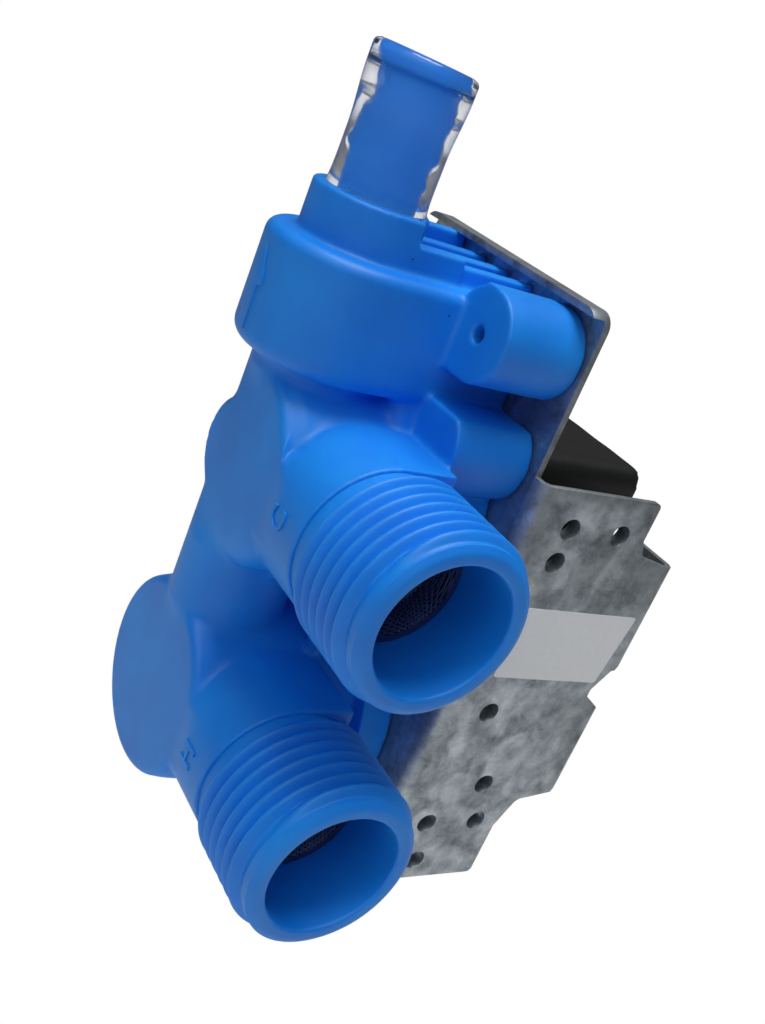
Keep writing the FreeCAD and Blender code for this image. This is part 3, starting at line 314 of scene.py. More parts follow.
PAPER, place = new_material("satin_white_paper")
fibres = add_node(PAPER, "TexNoise", Vector=place, Scale=1 / 0.0008, Detail=4.0)
pulp = add_node(PAPER, "Mix", {"data_type": "RGBA"}, i0=(fibres, "Fac"), i6="#eef2f5", i7="#fbfdff")
shader = add_node(PAPER, "BsdfPrincipled", Base_Color=(pulp, 2), Roughness=0.5, IOR=1.5)
add_node(PAPER, "OutputMaterial", Surface=(shader, "BSDF"))
print("made", CLEAR.name, "and", PAPER.name)

# %% [markdown]
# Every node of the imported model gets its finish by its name, whether it shows or not.
# Cold and hot pieces share one finish, so their side is dropped from the name first.

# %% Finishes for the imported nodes
finishes = {
    "valve_body": BLUE, "inlet_spigot": BLUE, "outlet_tube": BLUE, "outlet_sleeve": CLEAR,
    "bracket": STEEL, "bracket_screws": PLATED, "strainer": MESH, "flow_washer": RUBBER,
    "diaphragm": RUBBER, "diaphragm_insert": NYLON, "bonnet": NYLON, "plunger": PLATED,
    "plunger_tip": RUBBER, "plunger_spring": PLATED, "coil": BLACK, "yoke": PLATED,
    "coil_clip": PLATED, "terminals": BRASS,
}
for name, thing in nodes.items():
    plain_name = name.removeprefix("cold_").removeprefix("hot_")
    thing.data.materials.clear()
    thing.data.materials.append(finishes[plain_name])
print("finished", len(nodes), "nodes")

# %% [markdown]
# Four helpers serve every new piece.
# The first turns a shape into a mesh.
# The second gives a mesh its material and smooth shading, and hangs it on the valve.
# The third does both for a shape drawn in millimetres.
# The fourth is a lathe: it spins an outline about an upright axis and closes its poles.

# %% Helpers for pieces


def plain_mesh(bm, name):
    """The mesh of a shape, in whatever unit it has."""
    mesh = bpy.data.meshes.new(name)
    bm.to_mesh(mesh)
    bm.free()
    return mesh


def hang(mesh, name, material, replaced=(), crease=35.0):
    """Makes a finished mesh in metres a piece that rides on the valve."""
    mesh.materials.clear()
    mesh.materials.append(material)
    mesh.shade_smooth()
    mesh.set_sharp_from_angle(angle=math.radians(crease))
    piece = bpy.data.objects.new(name, mesh)
    bpy.context.collection.objects.link(piece)
    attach(piece, "valve")
    if replaced:
        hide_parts(*replaced)
    print(name, "has", len(mesh.polygons), "faces")
    return piece


def finished(bm, name, material, replaced=(), crease=35.0):
    """Turns a shape drawn in millimetres into a piece in metres."""
    bmesh.ops.recalc_face_normals(bm, faces=bm.faces)
    bmesh.ops.scale(bm, vec=(MM, MM, MM), verts=bm.verts)
    return hang(plain_mesh(bm, name), name, material, replaced, crease)


def lathe(outline, steps):
    """Spins a closed outline of (radius, height) corners about Z."""
    bm = bmesh.new()
    corners = [bm.verts.new((radius, 0.0, height)) for radius, height in outline]
    for here, there in zip(corners, corners[1:] + corners[:1]):
        bm.edges.new((here, there))
    bmesh.ops.spin(
        bm, geom=bm.verts[:] + bm.edges[:], axis=(0, 0, 1), angle=2 * math.pi,
        steps=steps, use_merge=True,
    )
    bmesh.ops.remove_doubles(bm, verts=bm.verts, dist=0.0005)
    return bm


def smooth_step(value):
    """Rises softly from 0 to 1 as value does."""
    value = min(max(value, 0.0), 1.0)
    return value * value * (3 - 2 * value)


# %% [markdown]
# A moulded body has no knife edges: where walls meet, the mould maker runs in a soft fillet.
# Rounding hundreds of edges one by one breaks easily, and a voxel remesh is one step.
# It wraps a copy of the solid in a fine even net, which two smoothing passes soften.
# A decimation at the end keeps the faces where the skin bends most.

# %% Helpers that soften a solid


def remeshed(node, voxel, additions=()):
    """A copy of a node's mesh, with other closed shapes, wrapped in an even net of quads."""
    bm = bmesh.new()
    bm.from_mesh(nodes[node].data)
    bmesh.ops.remove_doubles(bm, verts=bm.verts, dist=1e-7)
    for addition in additions:
        bm.from_mesh(addition)
    helper = bpy.data.objects.new(node + "_copy", plain_mesh(bm, node + "_copy"))
    bpy.context.collection.objects.link(helper)
    wrap = helper.modifiers.new("wrap", "REMESH")
    wrap.mode = "VOXEL"
    wrap.voxel_size = voxel * MM
    depsgraph = bpy.context.evaluated_depsgraph_get()
    result = bpy.data.meshes.new_from_object(helper.evaluated_get(depsgraph))
    bpy.data.objects.remove(helper)
    return result


def thinned(mesh, most):
    """A copy of a mesh with at most a number of triangles."""
    helper = bpy.data.objects.new("thin_helper", mesh)
    bpy.context.collection.objects.link(helper)
    fewer = helper.modifiers.new("fewer", "DECIMATE")
    fewer.ratio = min(1.0, most / sum(len(face.vertices) - 2 for face in mesh.polygons))
    depsgraph = bpy.context.evaluated_depsgraph_get()
    result = bpy.data.meshes.new_from_object(helper.evaluated_get(depsgraph))
    bpy.data.objects.remove(helper)
    return result


def smoothed(mesh, rounds, share=0.5):
    """Moves each vertex part of the way to the middle of its neighbours."""
    bm = bmesh.new()
    bm.from_mesh(mesh)
    for _ in range(rounds):
        bmesh.ops.smooth_vert(
            bm, verts=bm.verts, factor=share, use_axis_x=True, use_axis_y=True, use_axis_z=True,
        )
    bm.to_mesh(mesh)
    bm.free()


def fill_valleys(mesh, rounds, weight):
    """Raises the hollows between walls towards their neighbours, where weight is over 0."""
    count = len(mesh.vertices)
    ends = np.empty(2 * len(mesh.edges), dtype=np.int64)
    mesh.edges.foreach_get("vertices", ends)
    first, second = ends[0::2], ends[1::2]
    links = np.bincount(ends, minlength=count)
    spot, normal = np.empty(3 * count), np.empty(3 * count)
    mesh.vertices.foreach_get("co", spot)
    spot = spot.reshape(-1, 3)
    share = weight(spot / MM)
    for _ in range(rounds):
        mesh.vertices.foreach_get("normal", normal)
        outward = normal.reshape(-1, 3)
        middle = np.empty_like(spot)
        for axis in range(3):
            line = spot[:, axis]
            total = np.bincount(first, line[second], count)
            total += np.bincount(second, line[first], count)
            middle[:, axis] = total / links
        rise = np.clip(((middle - spot) * outward).sum(axis=1), 0, None) * share
        spot = spot + outward * rise[:, None]
        mesh.vertices.foreach_set("co", spot.ravel())
        mesh.update()


# %% [markdown]
# The valve chambers are turned shapes that grow a little towards the bracket, as a mould's draft asks.
# Their left ends are flat, with a soft edge that catches the light.
# They are spun here as shells, and the remesh fuses them with the body.
# Drills keep the water's ways through them open.

# %% The chambers' shells
CHAMBER_LEFT = -46.5
END_RADIUS = 15.5
END_ROUND = 1.4
DRAFT_LEFT = -43.6
HOT_RADII = (15.8, 16.6)
COLD_RADII = (16.3, 17.3)
SHELL_RIGHT = -18.5
SHELL_BORE = 13.2
# The hot chamber's flat end is solid as far as this
END_SOLID = -40.0
# The cold one's soft corner is only at its front, below the drum
CORNER_BACK = 24.5
CORNER_LOW = 3.0
# Radius and length of the way up the manifold, and of the way in from each inlet
MANIFOLD_WAY = (5.3, 79.0)
INLET_WAY = (3.8, 12.0)
INLET_WAY_AT = (-28.7, 14.0)


def end_corner():
    """The soft edge of a chamber's left end, from its face to its side."""
    steps = [math.radians(22.5 * n) for n in range(5)]
    return [
        (END_RADIUS - END_ROUND * (1 - math.sin(a)), CHAMBER_LEFT + END_ROUND * (1 - math.cos(a)))
        for a in steps
    ]


def drilled(mesh, ways):
    """A mesh with round ways cut through it, each an axis, a middle, a radius and a length."""
    helpers = [bpy.data.objects.new("shell", mesh)]
    for axis, middle, radius, length in ways:
        drill = bmesh.new()
        bmesh.ops.create_cone(
            drill, cap_ends=True, segments=48, radius1=radius, radius2=radius, depth=length,
        )
        if axis == "Y":
            bmesh.ops.rotate(drill, matrix=Matrix.Rotation(math.pi / 2, 3, "X"), verts=drill.verts)
        bmesh.ops.translate(drill, vec=middle, verts=drill.verts)
        helpers.append(bpy.data.objects.new("drill", plain_mesh(drill, "drill")))
        cut = helpers[0].modifiers.new("way", "BOOLEAN")
        cut.operation = "DIFFERENCE"
        cut.object = helpers[-1]
    for helper in helpers:
        bpy.context.collection.objects.link(helper)
    depsgraph = bpy.context.evaluated_depsgraph_get()
    result = bpy.data.meshes.new_from_object(helpers[0].evaluated_get(depsgraph))
    for helper in helpers:
        bpy.data.objects.remove(helper)
    return result


def chamber_shell(outline, centre_z, behind=None):
    """Spins an outline of (radius, X) about a chamber's axis, cuts its back off and drills it."""
    bm = lathe(outline, 120)
    turned = Matrix.Translation((0, CHAMBER_Y, centre_z)) @ Matrix.Rotation(math.pi / 2, 4, "Y")
    bmesh.ops.transform(bm, matrix=turned, verts=bm.verts)
    if behind is not None:
        low = centre_z - CORNER_LOW
        for spot, outward in (((0, behind, 0), (0, 1, 0)), ((0, 0, low), (0, 0, -1))):
            cut = bmesh.ops.bisect_plane(
                bm, geom=bm.verts[:] + bm.edges[:] + bm.faces[:], plane_co=spot, plane_no=outward,
                clear_outer=True,
            )["geom_cut"]
            rim = [part for part in cut if isinstance(part, bmesh.types.BMEdge)]
            bmesh.ops.holes_fill(bm, edges=rim)
    bmesh.ops.recalc_face_normals(bm, faces=bm.faces)
    ways = [
        ("Z", (OUTLET_X, CHAMBER_Y, COLD_Z), *MANIFOLD_WAY),
        ("Y", (*INLET_WAY_AT, centre_z), *INLET_WAY),
    ]
    result = drilled(plain_mesh(bm, "shell"), ways)
    result.transform(Matrix.Scale(MM, 4))
    print("shell with", len(result.polygons), "faces")
    return result


hot_outline = [
    (0.0, CHAMBER_LEFT), *end_corner(), (HOT_RADII[0], DRAFT_LEFT), (HOT_RADII[1], INLET_X),
    (HOT_RADII[1], SHELL_RIGHT), (SHELL_BORE, SHELL_RIGHT), (SHELL_BORE, END_SOLID), (0.0, END_SOLID),
]
cold_outline = [
    (COLD_RADII[1], OUTLET_X), (COLD_RADII[1], SHELL_RIGHT),
    (SHELL_BORE, SHELL_RIGHT), (SHELL_BORE, OUTLET_X),
]
corner_outline = [(5.0, CHAMBER_LEFT), *end_corner(), (COLD_RADII[0], DRAFT_LEFT)]
corner_outline += [(COLD_RADII[1], OUTLET_X + 0.3), (5.0, OUTLET_X + 0.3)]
shells = [
    chamber_shell(hot_outline, HOT_Z),
    chamber_shell(cold_outline, COLD_Z),
    chamber_shell(corner_outline, COLD_Z, behind=CORNER_BACK),
]

# %% [markdown]
# Three small shapes are added to the shells, and the remesh fuses them too.
# A plug closes the lower front boss, which has no hole on its left face.
# A stout post stands on the cold neck's top and leans back under the drum.
# A fourth rib joins the drum's back to the web, behind the three of the solid.

# %% The plug, the post and the rib
bm = lathe([(0.0, -3.0), (1.8, -3.0), (1.8, 0.0), (0.0, 0.0)], 32)
boss_face = Matrix.Translation((-27.0, 11.0, COLD_Z + 13.6)) @ Matrix.Rotation(-math.pi / 2, 4, "Y")
bmesh.ops.transform(bm, matrix=Matrix.Scale(MM, 4) @ boss_face, verts=bm.verts)
bmesh.ops.recalc_face_normals(bm, faces=bm.faces)
shells.append(plain_mesh(bm, "boss_plug"))

POST_FOOT = Vector((-28.0, 16.4, 28.0))
POST_TOP = Vector((-28.0, 18.4, 36.4))
POST_RADII = (2.7, 2.4)
bm = bmesh.new()
bmesh.ops.create_cone(
    bm, cap_ends=True, segments=48, radius1=POST_RADII[0], radius2=POST_RADII[1],
    depth=(POST_TOP - POST_FOOT).length,
)
lean = (POST_TOP - POST_FOOT).to_track_quat("Z", "Y").to_matrix().to_4x4()
post_place = Matrix.Translation((POST_FOOT + POST_TOP) / 2) @ lean
bmesh.ops.transform(bm, matrix=Matrix.Scale(MM, 4) @ post_place, verts=bm.verts)
shells.append(plain_mesh(bm, "post"))

RIB_LOW = Vector((-33.0, 38.5, 36.0))
RIB_HIGH = Vector((-13.4, 41.1, 57.0))
bm = bmesh.new()
bmesh.ops.create_cube(bm, size=1.0)
bmesh.ops.scale(bm, vec=RIB_HIGH - RIB_LOW, verts=bm.verts)
bmesh.ops.translate(bm, vec=(RIB_LOW + RIB_HIGH) / 2, verts=bm.verts)
bmesh.ops.scale(bm, vec=(MM, MM, MM), verts=bm.verts)
shells.append(plain_mesh(bm, "rib"))
print("shapes to fuse:", len(shells))

# %% [markdown]
# The body and the shells are remeshed as one, and then touched up point by point.
# Beside the chambers the necks' left sides are flush with the chambers' flat ends.
# The cold chamber's front has no ridge above its cheek, so its points are pressed to the turned shape.
# A short filling rounds every inner corner, and a longer one the corners beside the manifold.
# Round holes would close up, so the filling leaves the bosses and the bores alone.

# %% The moulded body
BODY_VOXEL = 0.34
MOST_TRIANGLES = 190000
# The filling leaves out what lies right of the bosses' left ends, above the drum and in the bores
BOSSES_FROM_X = -24.0
RISER_FROM_Z = COLD_Z + 33.0
NECK_BACK_Y = 8.0
NECK_KEEP = 11.0
MANIFOLD_KEEP = 7.0
# The longer filling goes round the manifold, behind this Y and below the drum
MANIFOLD_RING = (7.5, 14.0)
MANIFOLD_FRONT_Y = 15.0
MANIFOLD_TOP_Z = COLD_Z + 18.0
# The share of a hollow's depth that one round fills, and the rounds
FILL_SHARE = 0.9
FILL_ROUNDS = 4
MANIFOLD_ROUNDS = 14
# The flush left sides fade in over 4 mm of Y, and out over 2.5 mm of height
FLUSH_Y, FLUSH_FADE_Y = 9.0, 4.0
FLUSH_HIGH, FLUSH_FADE_HIGH = 14.0, 2.5
# The ridge above the cold cheek: outside the neck, left of the inlets, in these spans
NECK_OUTSIDE = 12.75
CHEEK_BACK_Y = 22.0
CHEEK_RISE = (2.0, 15.0)


def valley_weight(spot):
    """1 where the body's walls flow together, 0 near its bores and bosses."""
    x, y, z = spot.T
    near_bosses = x > BOSSES_FROM_X
    in_necks = (y < NECK_BACK_Y) & (np.hypot(x - INLET_X, np.abs(z) - COLD_Z) < NECK_KEEP)
    above_drum = z > RISER_FROM_Z
    in_bore = np.hypot(x - OUTLET_X, y - CHAMBER_Y) < MANIFOLD_KEEP
    return np.where(near_bosses | in_necks | above_drum | in_bore, 0.0, FILL_SHARE)


def manifold_weight(spot):
    """1 round the manifold's front, where it meets the chambers."""
    x, y, z = spot.T
    reach = np.hypot(x - OUTLET_X, y - CHAMBER_Y)
    ring = (reach > MANIFOLD_RING[0]) & (reach < MANIFOLD_RING[1])
    beside = ring & (y > MANIFOLD_FRONT_Y) & (z < MANIFOLD_TOP_Z)
    return np.where(beside, FILL_SHARE, 0.0)


def pressed(spot):
    """The places of the body's points after the necks and the cold chamber are pressed flush."""
    x, y, z = spot.T.copy()
    beside = np.abs(np.abs(z) - COLD_Z)
    blend = np.clip((y - FLUSH_Y) / FLUSH_FADE_Y, 0.0, 1.0)
    blend *= np.clip((FLUSH_HIGH - beside) / FLUSH_FADE_HIGH, 0.0, 1.0)
    x = np.where(x < CHAMBER_LEFT, x + (CHAMBER_LEFT - x) * blend, x)
    rise = z - COLD_Z
    reach = np.hypot(y - CHAMBER_Y, rise)
    places = (CHAMBER_LEFT + END_ROUND, DRAFT_LEFT, INLET_X)
    wanted = np.interp(x, places, (END_RADIUS, *COLD_RADII))
    outside_neck = np.hypot(x - INLET_X, rise) > NECK_OUTSIDE
    cheek = (x < INLET_X) & (y < CHEEK_BACK_Y) & (rise > CHEEK_RISE[0]) & (rise < CHEEK_RISE[1])
    ridge = outside_neck & cheek & (reach > wanted)
    share = np.where(ridge, wanted / reach, 1.0)
    return np.stack([x, CHAMBER_Y + (y - CHAMBER_Y) * share, COLD_Z + rise * share], axis=1)


body_mesh = remeshed("valve_body", BODY_VOXEL, shells)
spots = np.empty(3 * len(body_mesh.vertices))
body_mesh.vertices.foreach_get("co", spots)
body_mesh.vertices.foreach_set("co", (pressed(spots.reshape(-1, 3) / MM) * MM).ravel())
body_mesh.update()
print("net of", len(body_mesh.vertices), "points")
smoothed(body_mesh, 2)
fill_valleys(body_mesh, FILL_ROUNDS, valley_weight)
fill_valleys(body_mesh, MANIFOLD_ROUNDS, manifold_weight)
hang(
    thinned(body_mesh, MOST_TRIANGLES), "moulded_body", BLUE, ["valve_body"],
    crease=60.0,
)

# %% [markdown]
# Each inlet carries a garden hose thread: 11.5 turns to the inch, one start, right-handed.
# A thread could be swept along a helix, but its ends are hard to close.
# Here a plain spigot is spun first, and its wall is then pushed out along the helix.
# The ridge fades in over a part of a turn at both ends, as the mould's does.

# %% The threaded spigots
THREAD_PITCH = 2.209
ROOT_RADIUS = 12.08
CREST_RADIUS = 13.45
NOSE_RADIUS = 12.4
NOSE_ROUND = 1.4
BORE_RADIUS = 9.7
MOUTH_ROUND = 0.6
THREAD_LENGTH = 15.6
SPIGOT_LENGTH = 19.0


def thread_ridge(height, angle, last_crest):
    """How far the thread stands out at a height above the shoulder, from 0 to 1."""
    turns = round((height - last_crest) / THREAD_PITCH - angle) + angle
    offset = (height - last_crest) / THREAD_PITCH - turns
    ridge = (0.5 + 0.5 * math.cos(2 * math.pi * offset)) ** 0.6
    most = (THREAD_LENGTH - 1.4) / THREAD_PITCH
    return ridge * smooth_step(turns / 0.12 + 0.5) * smooth_step((most - turns) / 0.12)


def threaded_spigot(side, centre_z, last_crest):
    """A spigot from its mouth, at the top of the lathe, down to the neck's shoulder."""
    arc = [math.radians(15 * n) for n in range(7)]
    nose = [
        (NOSE_RADIUS - NOSE_ROUND * (1 - math.cos(a)), SPIGOT_LENGTH - NOSE_ROUND * (1 - math.sin(a)))
        for a in arc
    ]
    lip = [
        (BORE_RADIUS + MOUTH_ROUND * (1 - math.sin(a)), SPIGOT_LENGTH - MOUTH_ROUND * (1 - math.cos(a)))
        for a in arc
    ]
    rings = 150
    wall = [(ROOT_RADIUS, (SPIGOT_LENGTH - NOSE_ROUND) * n / rings) for n in range(rings)]
    seats = [(BORE_RADIUS, 6.6), (9.0, 6.6), (9.0, 5.6), (8.3, 5.6), (8.3, 0.0)]
    bm = lathe(wall + nose + lip + seats, 150)
    for vert in bm.verts:
        x, y, height = vert.co
        radius = math.hypot(x, y)
        if radius < ROOT_RADIUS - 0.3 or height > SPIGOT_LENGTH - NOSE_ROUND + 0.8:
            continue
        angle = math.atan2(y, x) / (2 * math.pi)
        ridge = thread_ridge(height, angle, last_crest)
        nose_blend = smooth_step((height - SPIGOT_LENGTH + 3.2) / 1.2)
        base = max(radius, ROOT_RADIUS + (NOSE_RADIUS - ROOT_RADIUS) * nose_blend)
        wanted = base + (CREST_RADIUS - base) * ridge
        vert.co.x *= wanted / radius
        vert.co.y *= wanted / radius
    shoulder = Matrix.Translation((INLET_X, MOUTH_Y + SPIGOT_LENGTH, centre_z))
    place = shoulder @ Matrix.Rotation(math.pi / 2, 4, "X")
    bmesh.ops.transform(bm, matrix=place, verts=bm.verts)
    return finished(
        bm, side + "_threaded_spigot", BLUE, [side + "_inlet_spigot"], crease=50.0,
    )


# The crests nearest the necks were measured on the side that faces the upper left
MEASURED_AT = 0.375 * THREAD_PITCH
threaded_spigot("cold", COLD_Z, SPIGOT_LENGTH - 15.48 - MEASURED_AT)
threaded_spigot("hot", HOT_Z, SPIGOT_LENGTH - 15.79 - MEASURED_AT)

# %% [markdown]
# A strainer is pressed from woven wire: a rim, a tapered side and a flat floor.
# A closed outline with a wall of 0.25 mm is spun, as the real one is drawn over a round punch.

# %% The strainers


def strainer_cup(side, centre_z):
    """A cup that opens towards the mouth, with depths counted from the mouth."""
    outline = [
        (0.0, 16.2), (6.6, 16.15), (7.3, 15.7), (8.15, 13.4), (8.85, 12.45), (9.55, 12.38),
        (9.55, 12.15), (8.7, 12.2), (7.95, 13.3), (7.1, 15.5), (6.5, 15.9), (0.0, 15.95),
    ]
    bm = lathe([(radius, -depth) for radius, depth in outline], 72)
    place = Matrix.Translation((INLET_X, MOUTH_Y, centre_z)) @ Matrix.Rotation(math.pi / 2, 4, "X")
    bmesh.ops.transform(bm, matrix=place, verts=bm.verts)
    return finished(bm, side + "_strainer_cup", MESH, [side + "_strainer"])


strainer_cup("cold", COLD_Z)
strainer_cup("hot", HOT_Z)

# %% [markdown]
# The hose tube is turned smooth, with a bead that keeps the hose on.
# The sleeve over it touches the tube in patches, and there no air lies between them.
# Where they touch, the tube's blue reaches the sleeve's outline, and elsewhere the edge stays clear.
# It has worked loose on two opposite sides, and most of all below the bead and at its foot.
# So the sleeve's inner wall dips just under the tube's skin in the patches, and lifts off between.

# %% The hose tube and its sleeve
TUBE_RADIUS = 5.2
BEAD_RADIUS = 6.2
BEAD_LOW = COLD_Z + 56.3
SLEEVE_TOP = COLD_Z + 59.5
RIM_ROUND = 0.9
# Its radius, the flare of its foot, and how far and how high its bell opens over the bead
SLEEVE_RADIUS = 7.0
FOOT_FLARE = 0.3
BELL, BELL_HIGH = 0.45, 8.0
# The two loose sides, as the turn from the X axis in radians
LOOSE_ANGLE = 0.51
# The mouth was cut askew, and it falls by this much per millimetre along X
MOUTH_SLOPE = 0.045


def tube_radius(height):
    """The tube's outside at a height, with its bead."""
    bead = smooth_step((height - BEAD_LOW) / 0.7)
    end = 1 - smooth_step((height - TUBE_TOP + 0.8) / 1.6)
    return TUBE_RADIUS + (BEAD_RADIUS - TUBE_RADIUS) * bead * end


def sleeve_radius(height):
    """The sleeve's outside: a small foot, a straight middle, a bell and a rounded rim."""
    foot = FOOT_FLARE * math.exp(-(height - RISER_TOP) / 1.2)
    bell = BELL * smooth_step((height - BEAD_LOW + BELL_HIGH) / BELL_HIGH)
    over = max(height - SLEEVE_TOP + RIM_ROUND, 0.0)
    return SLEEVE_RADIUS + foot + bell - RIM_ROUND + math.sqrt(RIM_ROUND**2 - over**2)


tube_heights = [RISER_TOP + (TUBE_TOP - RISER_TOP) * n / 60 for n in range(61)]
tube_outline = [(tube_radius(height), height) for height in tube_heights]
tube_outline += [(3.6, TUBE_TOP), (3.3, TUBE_TOP - 0.3), (3.3, RISER_TOP)]
bm = lathe(tube_outline, 72)
bmesh.ops.translate(bm, vec=(OUTLET_X, CHAMBER_Y, 0.0), verts=bm.verts)
finished(bm, "hose_tube", BLUE, ["outlet_tube"], crease=50.0)

sleeve_rings = 80
sleeve_foot = RISER_TOP + 0.03
sleeve_long = SLEEVE_TOP - sleeve_foot
heights = [sleeve_foot + sleeve_long * n / sleeve_rings for n in range(sleeve_rings + 1)]
outer = [(sleeve_radius(height), height) for height in heights]
inner = [(tube_radius(height) + 0.1, height) for height in reversed(heights)]
bm = lathe(outer + inner, 120)
for vert in bm.verts:
    x, y, height = vert.co
    radius = math.hypot(x, y)
    if radius < tube_radius(height) + 0.4:
        beside = abs(math.cos(math.atan2(y, x) + LOOSE_ANGLE)) ** 6
        bridge = smooth_step((height - BEAD_LOW + 4.0) / 1.5)
        bridge *= smooth_step((BEAD_LOW + 0.6 - height) / 0.6)
        base_gap = smooth_step((sleeve_foot + 3.6 - height) / 1.2)
        patches = noise.noise(Vector((x * 0.4, y * 0.4, height * 0.3)))
        lift = smooth_step((0.8 * patches + beside * (0.95 + bridge + base_gap) - 0.62) / 0.12)
        wanted = tube_radius(height) + (0.16 + 0.35 * bridge) * lift - 0.05
        vert.co.x *= wanted / radius
        vert.co.y *= wanted / radius
    vert.co.z -= MOUTH_SLOPE * (x + 7.5) * smooth_step((height - BEAD_LOW) / 3.0)
bmesh.ops.translate(bm, vec=(OUTLET_X, CHAMBER_Y, 0.0), verts=bm.verts)
finished(bm, "clear_sleeve", CLEAR, ["outlet_sleeve"], crease=50.0)

# %% [markdown]
# Flat marks and labels are drawn as one face, and a helper gives them their thickness.

# %% Helper that thickens a flat face


def thicken(bm, step):
    """Extrudes the only face of a shape by a step, and keeps it closed."""
    flat = bm.faces[:]
    moved = bmesh.ops.extrude_face_region(bm, geom=flat, use_keep_orig=True)["geom"]
    corners = [part for part in moved if isinstance(part, bmesh.types.BMVert)]
    bmesh.ops.translate(bm, vec=step, verts=corners)
    bmesh.ops.recalc_face_normals(bm, faces=bm.faces)


# %% [markdown]
# The arrow on the drum shows which way the water leaves, and both necks carry a letter.
# They are engraved in the mould, so they stand a quarter of a millimetre proud.
# Each is drawn flat, thickened and bevelled, then wrapped round its cylinder.
# They reach down into the wall, so that light runs into them as into the rest of the moulding.
# Cuts across its width let the flat faces bend.

# %% Helper that wraps a flat shape


def wrapped(bm, radius, name, cuts, to_world):
    """Bends a flat shape in XY round a cylinder along Y and gives it to the body."""
    for cut in cuts:
        parts = bm.verts[:] + bm.edges[:] + bm.faces[:]
        bmesh.ops.bisect_plane(bm, geom=parts, plane_co=(cut, 0, 0), plane_no=(1, 0, 0))
    for vert in bm.verts:
        angle = vert.co.x / radius
        out = radius + vert.co.z
        vert.co = (out * math.sin(angle), vert.co.y, out * math.cos(angle))
    bmesh.ops.transform(bm, matrix=to_world, verts=bm.verts)
    return finished(bm, name, BLUE)


# %% The flow arrow
# Corners in millimetres round the drum and up it, from the foot of the shaft
ARROW = [
    (-1.9, 38.1), (0.5, 38.1), (0.3, 44.4), (1.6, 44.8), (-0.45, 49.8), (-3.05, 44.5), (-1.9, 44.3),
]
RAISED = 0.28
SUNK = 2.0
DRUM_RADIUS = 12.75

bm = bmesh.new()
bm.faces.new([bm.verts.new((across, high, -SUNK)) for across, high in ARROW])
thicken(bm, (0, 0, SUNK + RAISED))
bmesh.ops.bevel(
    bm, geom=bm.edges[:], offset=0.18, affect="EDGES", segments=2, profile=0.5, material=-1,
)
# Seen from the front left, the drum's axis is the arrow's up, and its right is towards -Y
drum_place = Matrix(((0, 0, -1, OUTLET_X), (-1, 0, 0, CHAMBER_Y), (0, 1, 0, 0), (0, 0, 0, 1)))
wrapped(bm, DRUM_RADIUS, "flow_arrow", [-2.0, -1.0, 0.0, 1.0], drum_place)

# %% The cold and hot letters
NECK_RADIUS = 12.6
LETTER_HEIGHT = 3.5


def neck_letter(letter, centre_z, name):
    """A raised letter on a neck, read from below with its top towards the chamber."""
    curve = bpy.data.curves.new(name, "FONT")
    curve.body = letter
    curve.align_x = "CENTER"
    curve.align_y = "CENTER"
    curve.size = LETTER_HEIGHT / 0.7
    curve.extrude = 1.5
    curve.bevel_depth = 0.05
    helper = bpy.data.objects.new(name + "_curve", curve)
    bpy.context.collection.objects.link(helper)
    depsgraph = bpy.context.evaluated_depsgraph_get()
    mesh = bpy.data.meshes.new_from_object(helper.evaluated_get(depsgraph))
    bpy.data.objects.remove(helper)
    bm = bmesh.new()
    bm.from_mesh(mesh)
    bmesh.ops.remove_doubles(bm, verts=bm.verts, dist=0.001)
    bmesh.ops.translate(bm, vec=(0.55, 0.0, -1.3), verts=bm.verts)
    neck_place = Matrix(((0, 0, -1, INLET_X), (0, 1, 0, 7.45), (1, 0, 0, centre_z), (0, 0, 0, 1)))
    return wrapped(bm, NECK_RADIUS, name, [-1.0, 0.0, 1.0, 2.0], neck_place)


neck_letter("C", COLD_Z, "cold_mark")
neck_letter("H", HOT_Z, "hot_mark")

# %% [markdown]
# A label is stuck on the flange, half under the inlets.
# It is bare here: a thin sheet with soft corners, a tenth of a millimetre thick.

# %% The blank label
LABEL = [(-5.9, 14.0), (17.5, 13.6), (15.6, 0.9), (-6.3, 1.5)]
bm = bmesh.new()
sheet = bm.faces.new([bm.verts.new((across, -0.1, high)) for across, high in LABEL])
bmesh.ops.bevel(
    bm, geom=sheet.verts[:], offset=0.5, affect="VERTICES", segments=3, profile=0.5, material=-1,
)
thicken(bm, (0, 0.1, 0))
finished(bm, "blank_label", PAPER)

# %% [markdown]
# The bracket is folded sheet, and its edges were sheared and tumbled.
# A copy of the solid is merged, its flat triangles are joined, and its edges get a fine bevel.
# First the outline's corners get the punch's radius, nearly a millimetre.
# Then every edge gets a fifth of a millimetre, which is enough to catch the light.

# %% The bracket's soft edges
EDGE_ROUND = 0.2
CORNER_ROUND = 0.9
# The sheet is 1 mm thick, and longer edges are no corners of its outline
SHEET_MOST = 1.3


def is_sharp(edge):
    """True for an edge where two faces meet at more than 50 degrees."""
    return len(edge.link_faces) == 2 and edge.calc_face_angle() > math.radians(50)


def is_corner(edge):
    """True for the short edge through the sheet at a corner of its outline."""
    beside = [other for vert in edge.verts for other in vert.link_edges if other != edge]
    roomy = all(other.calc_length() > 2.2 * CORNER_ROUND for other in beside)
    return is_sharp(edge) and roomy and edge.calc_length() < SHEET_MOST


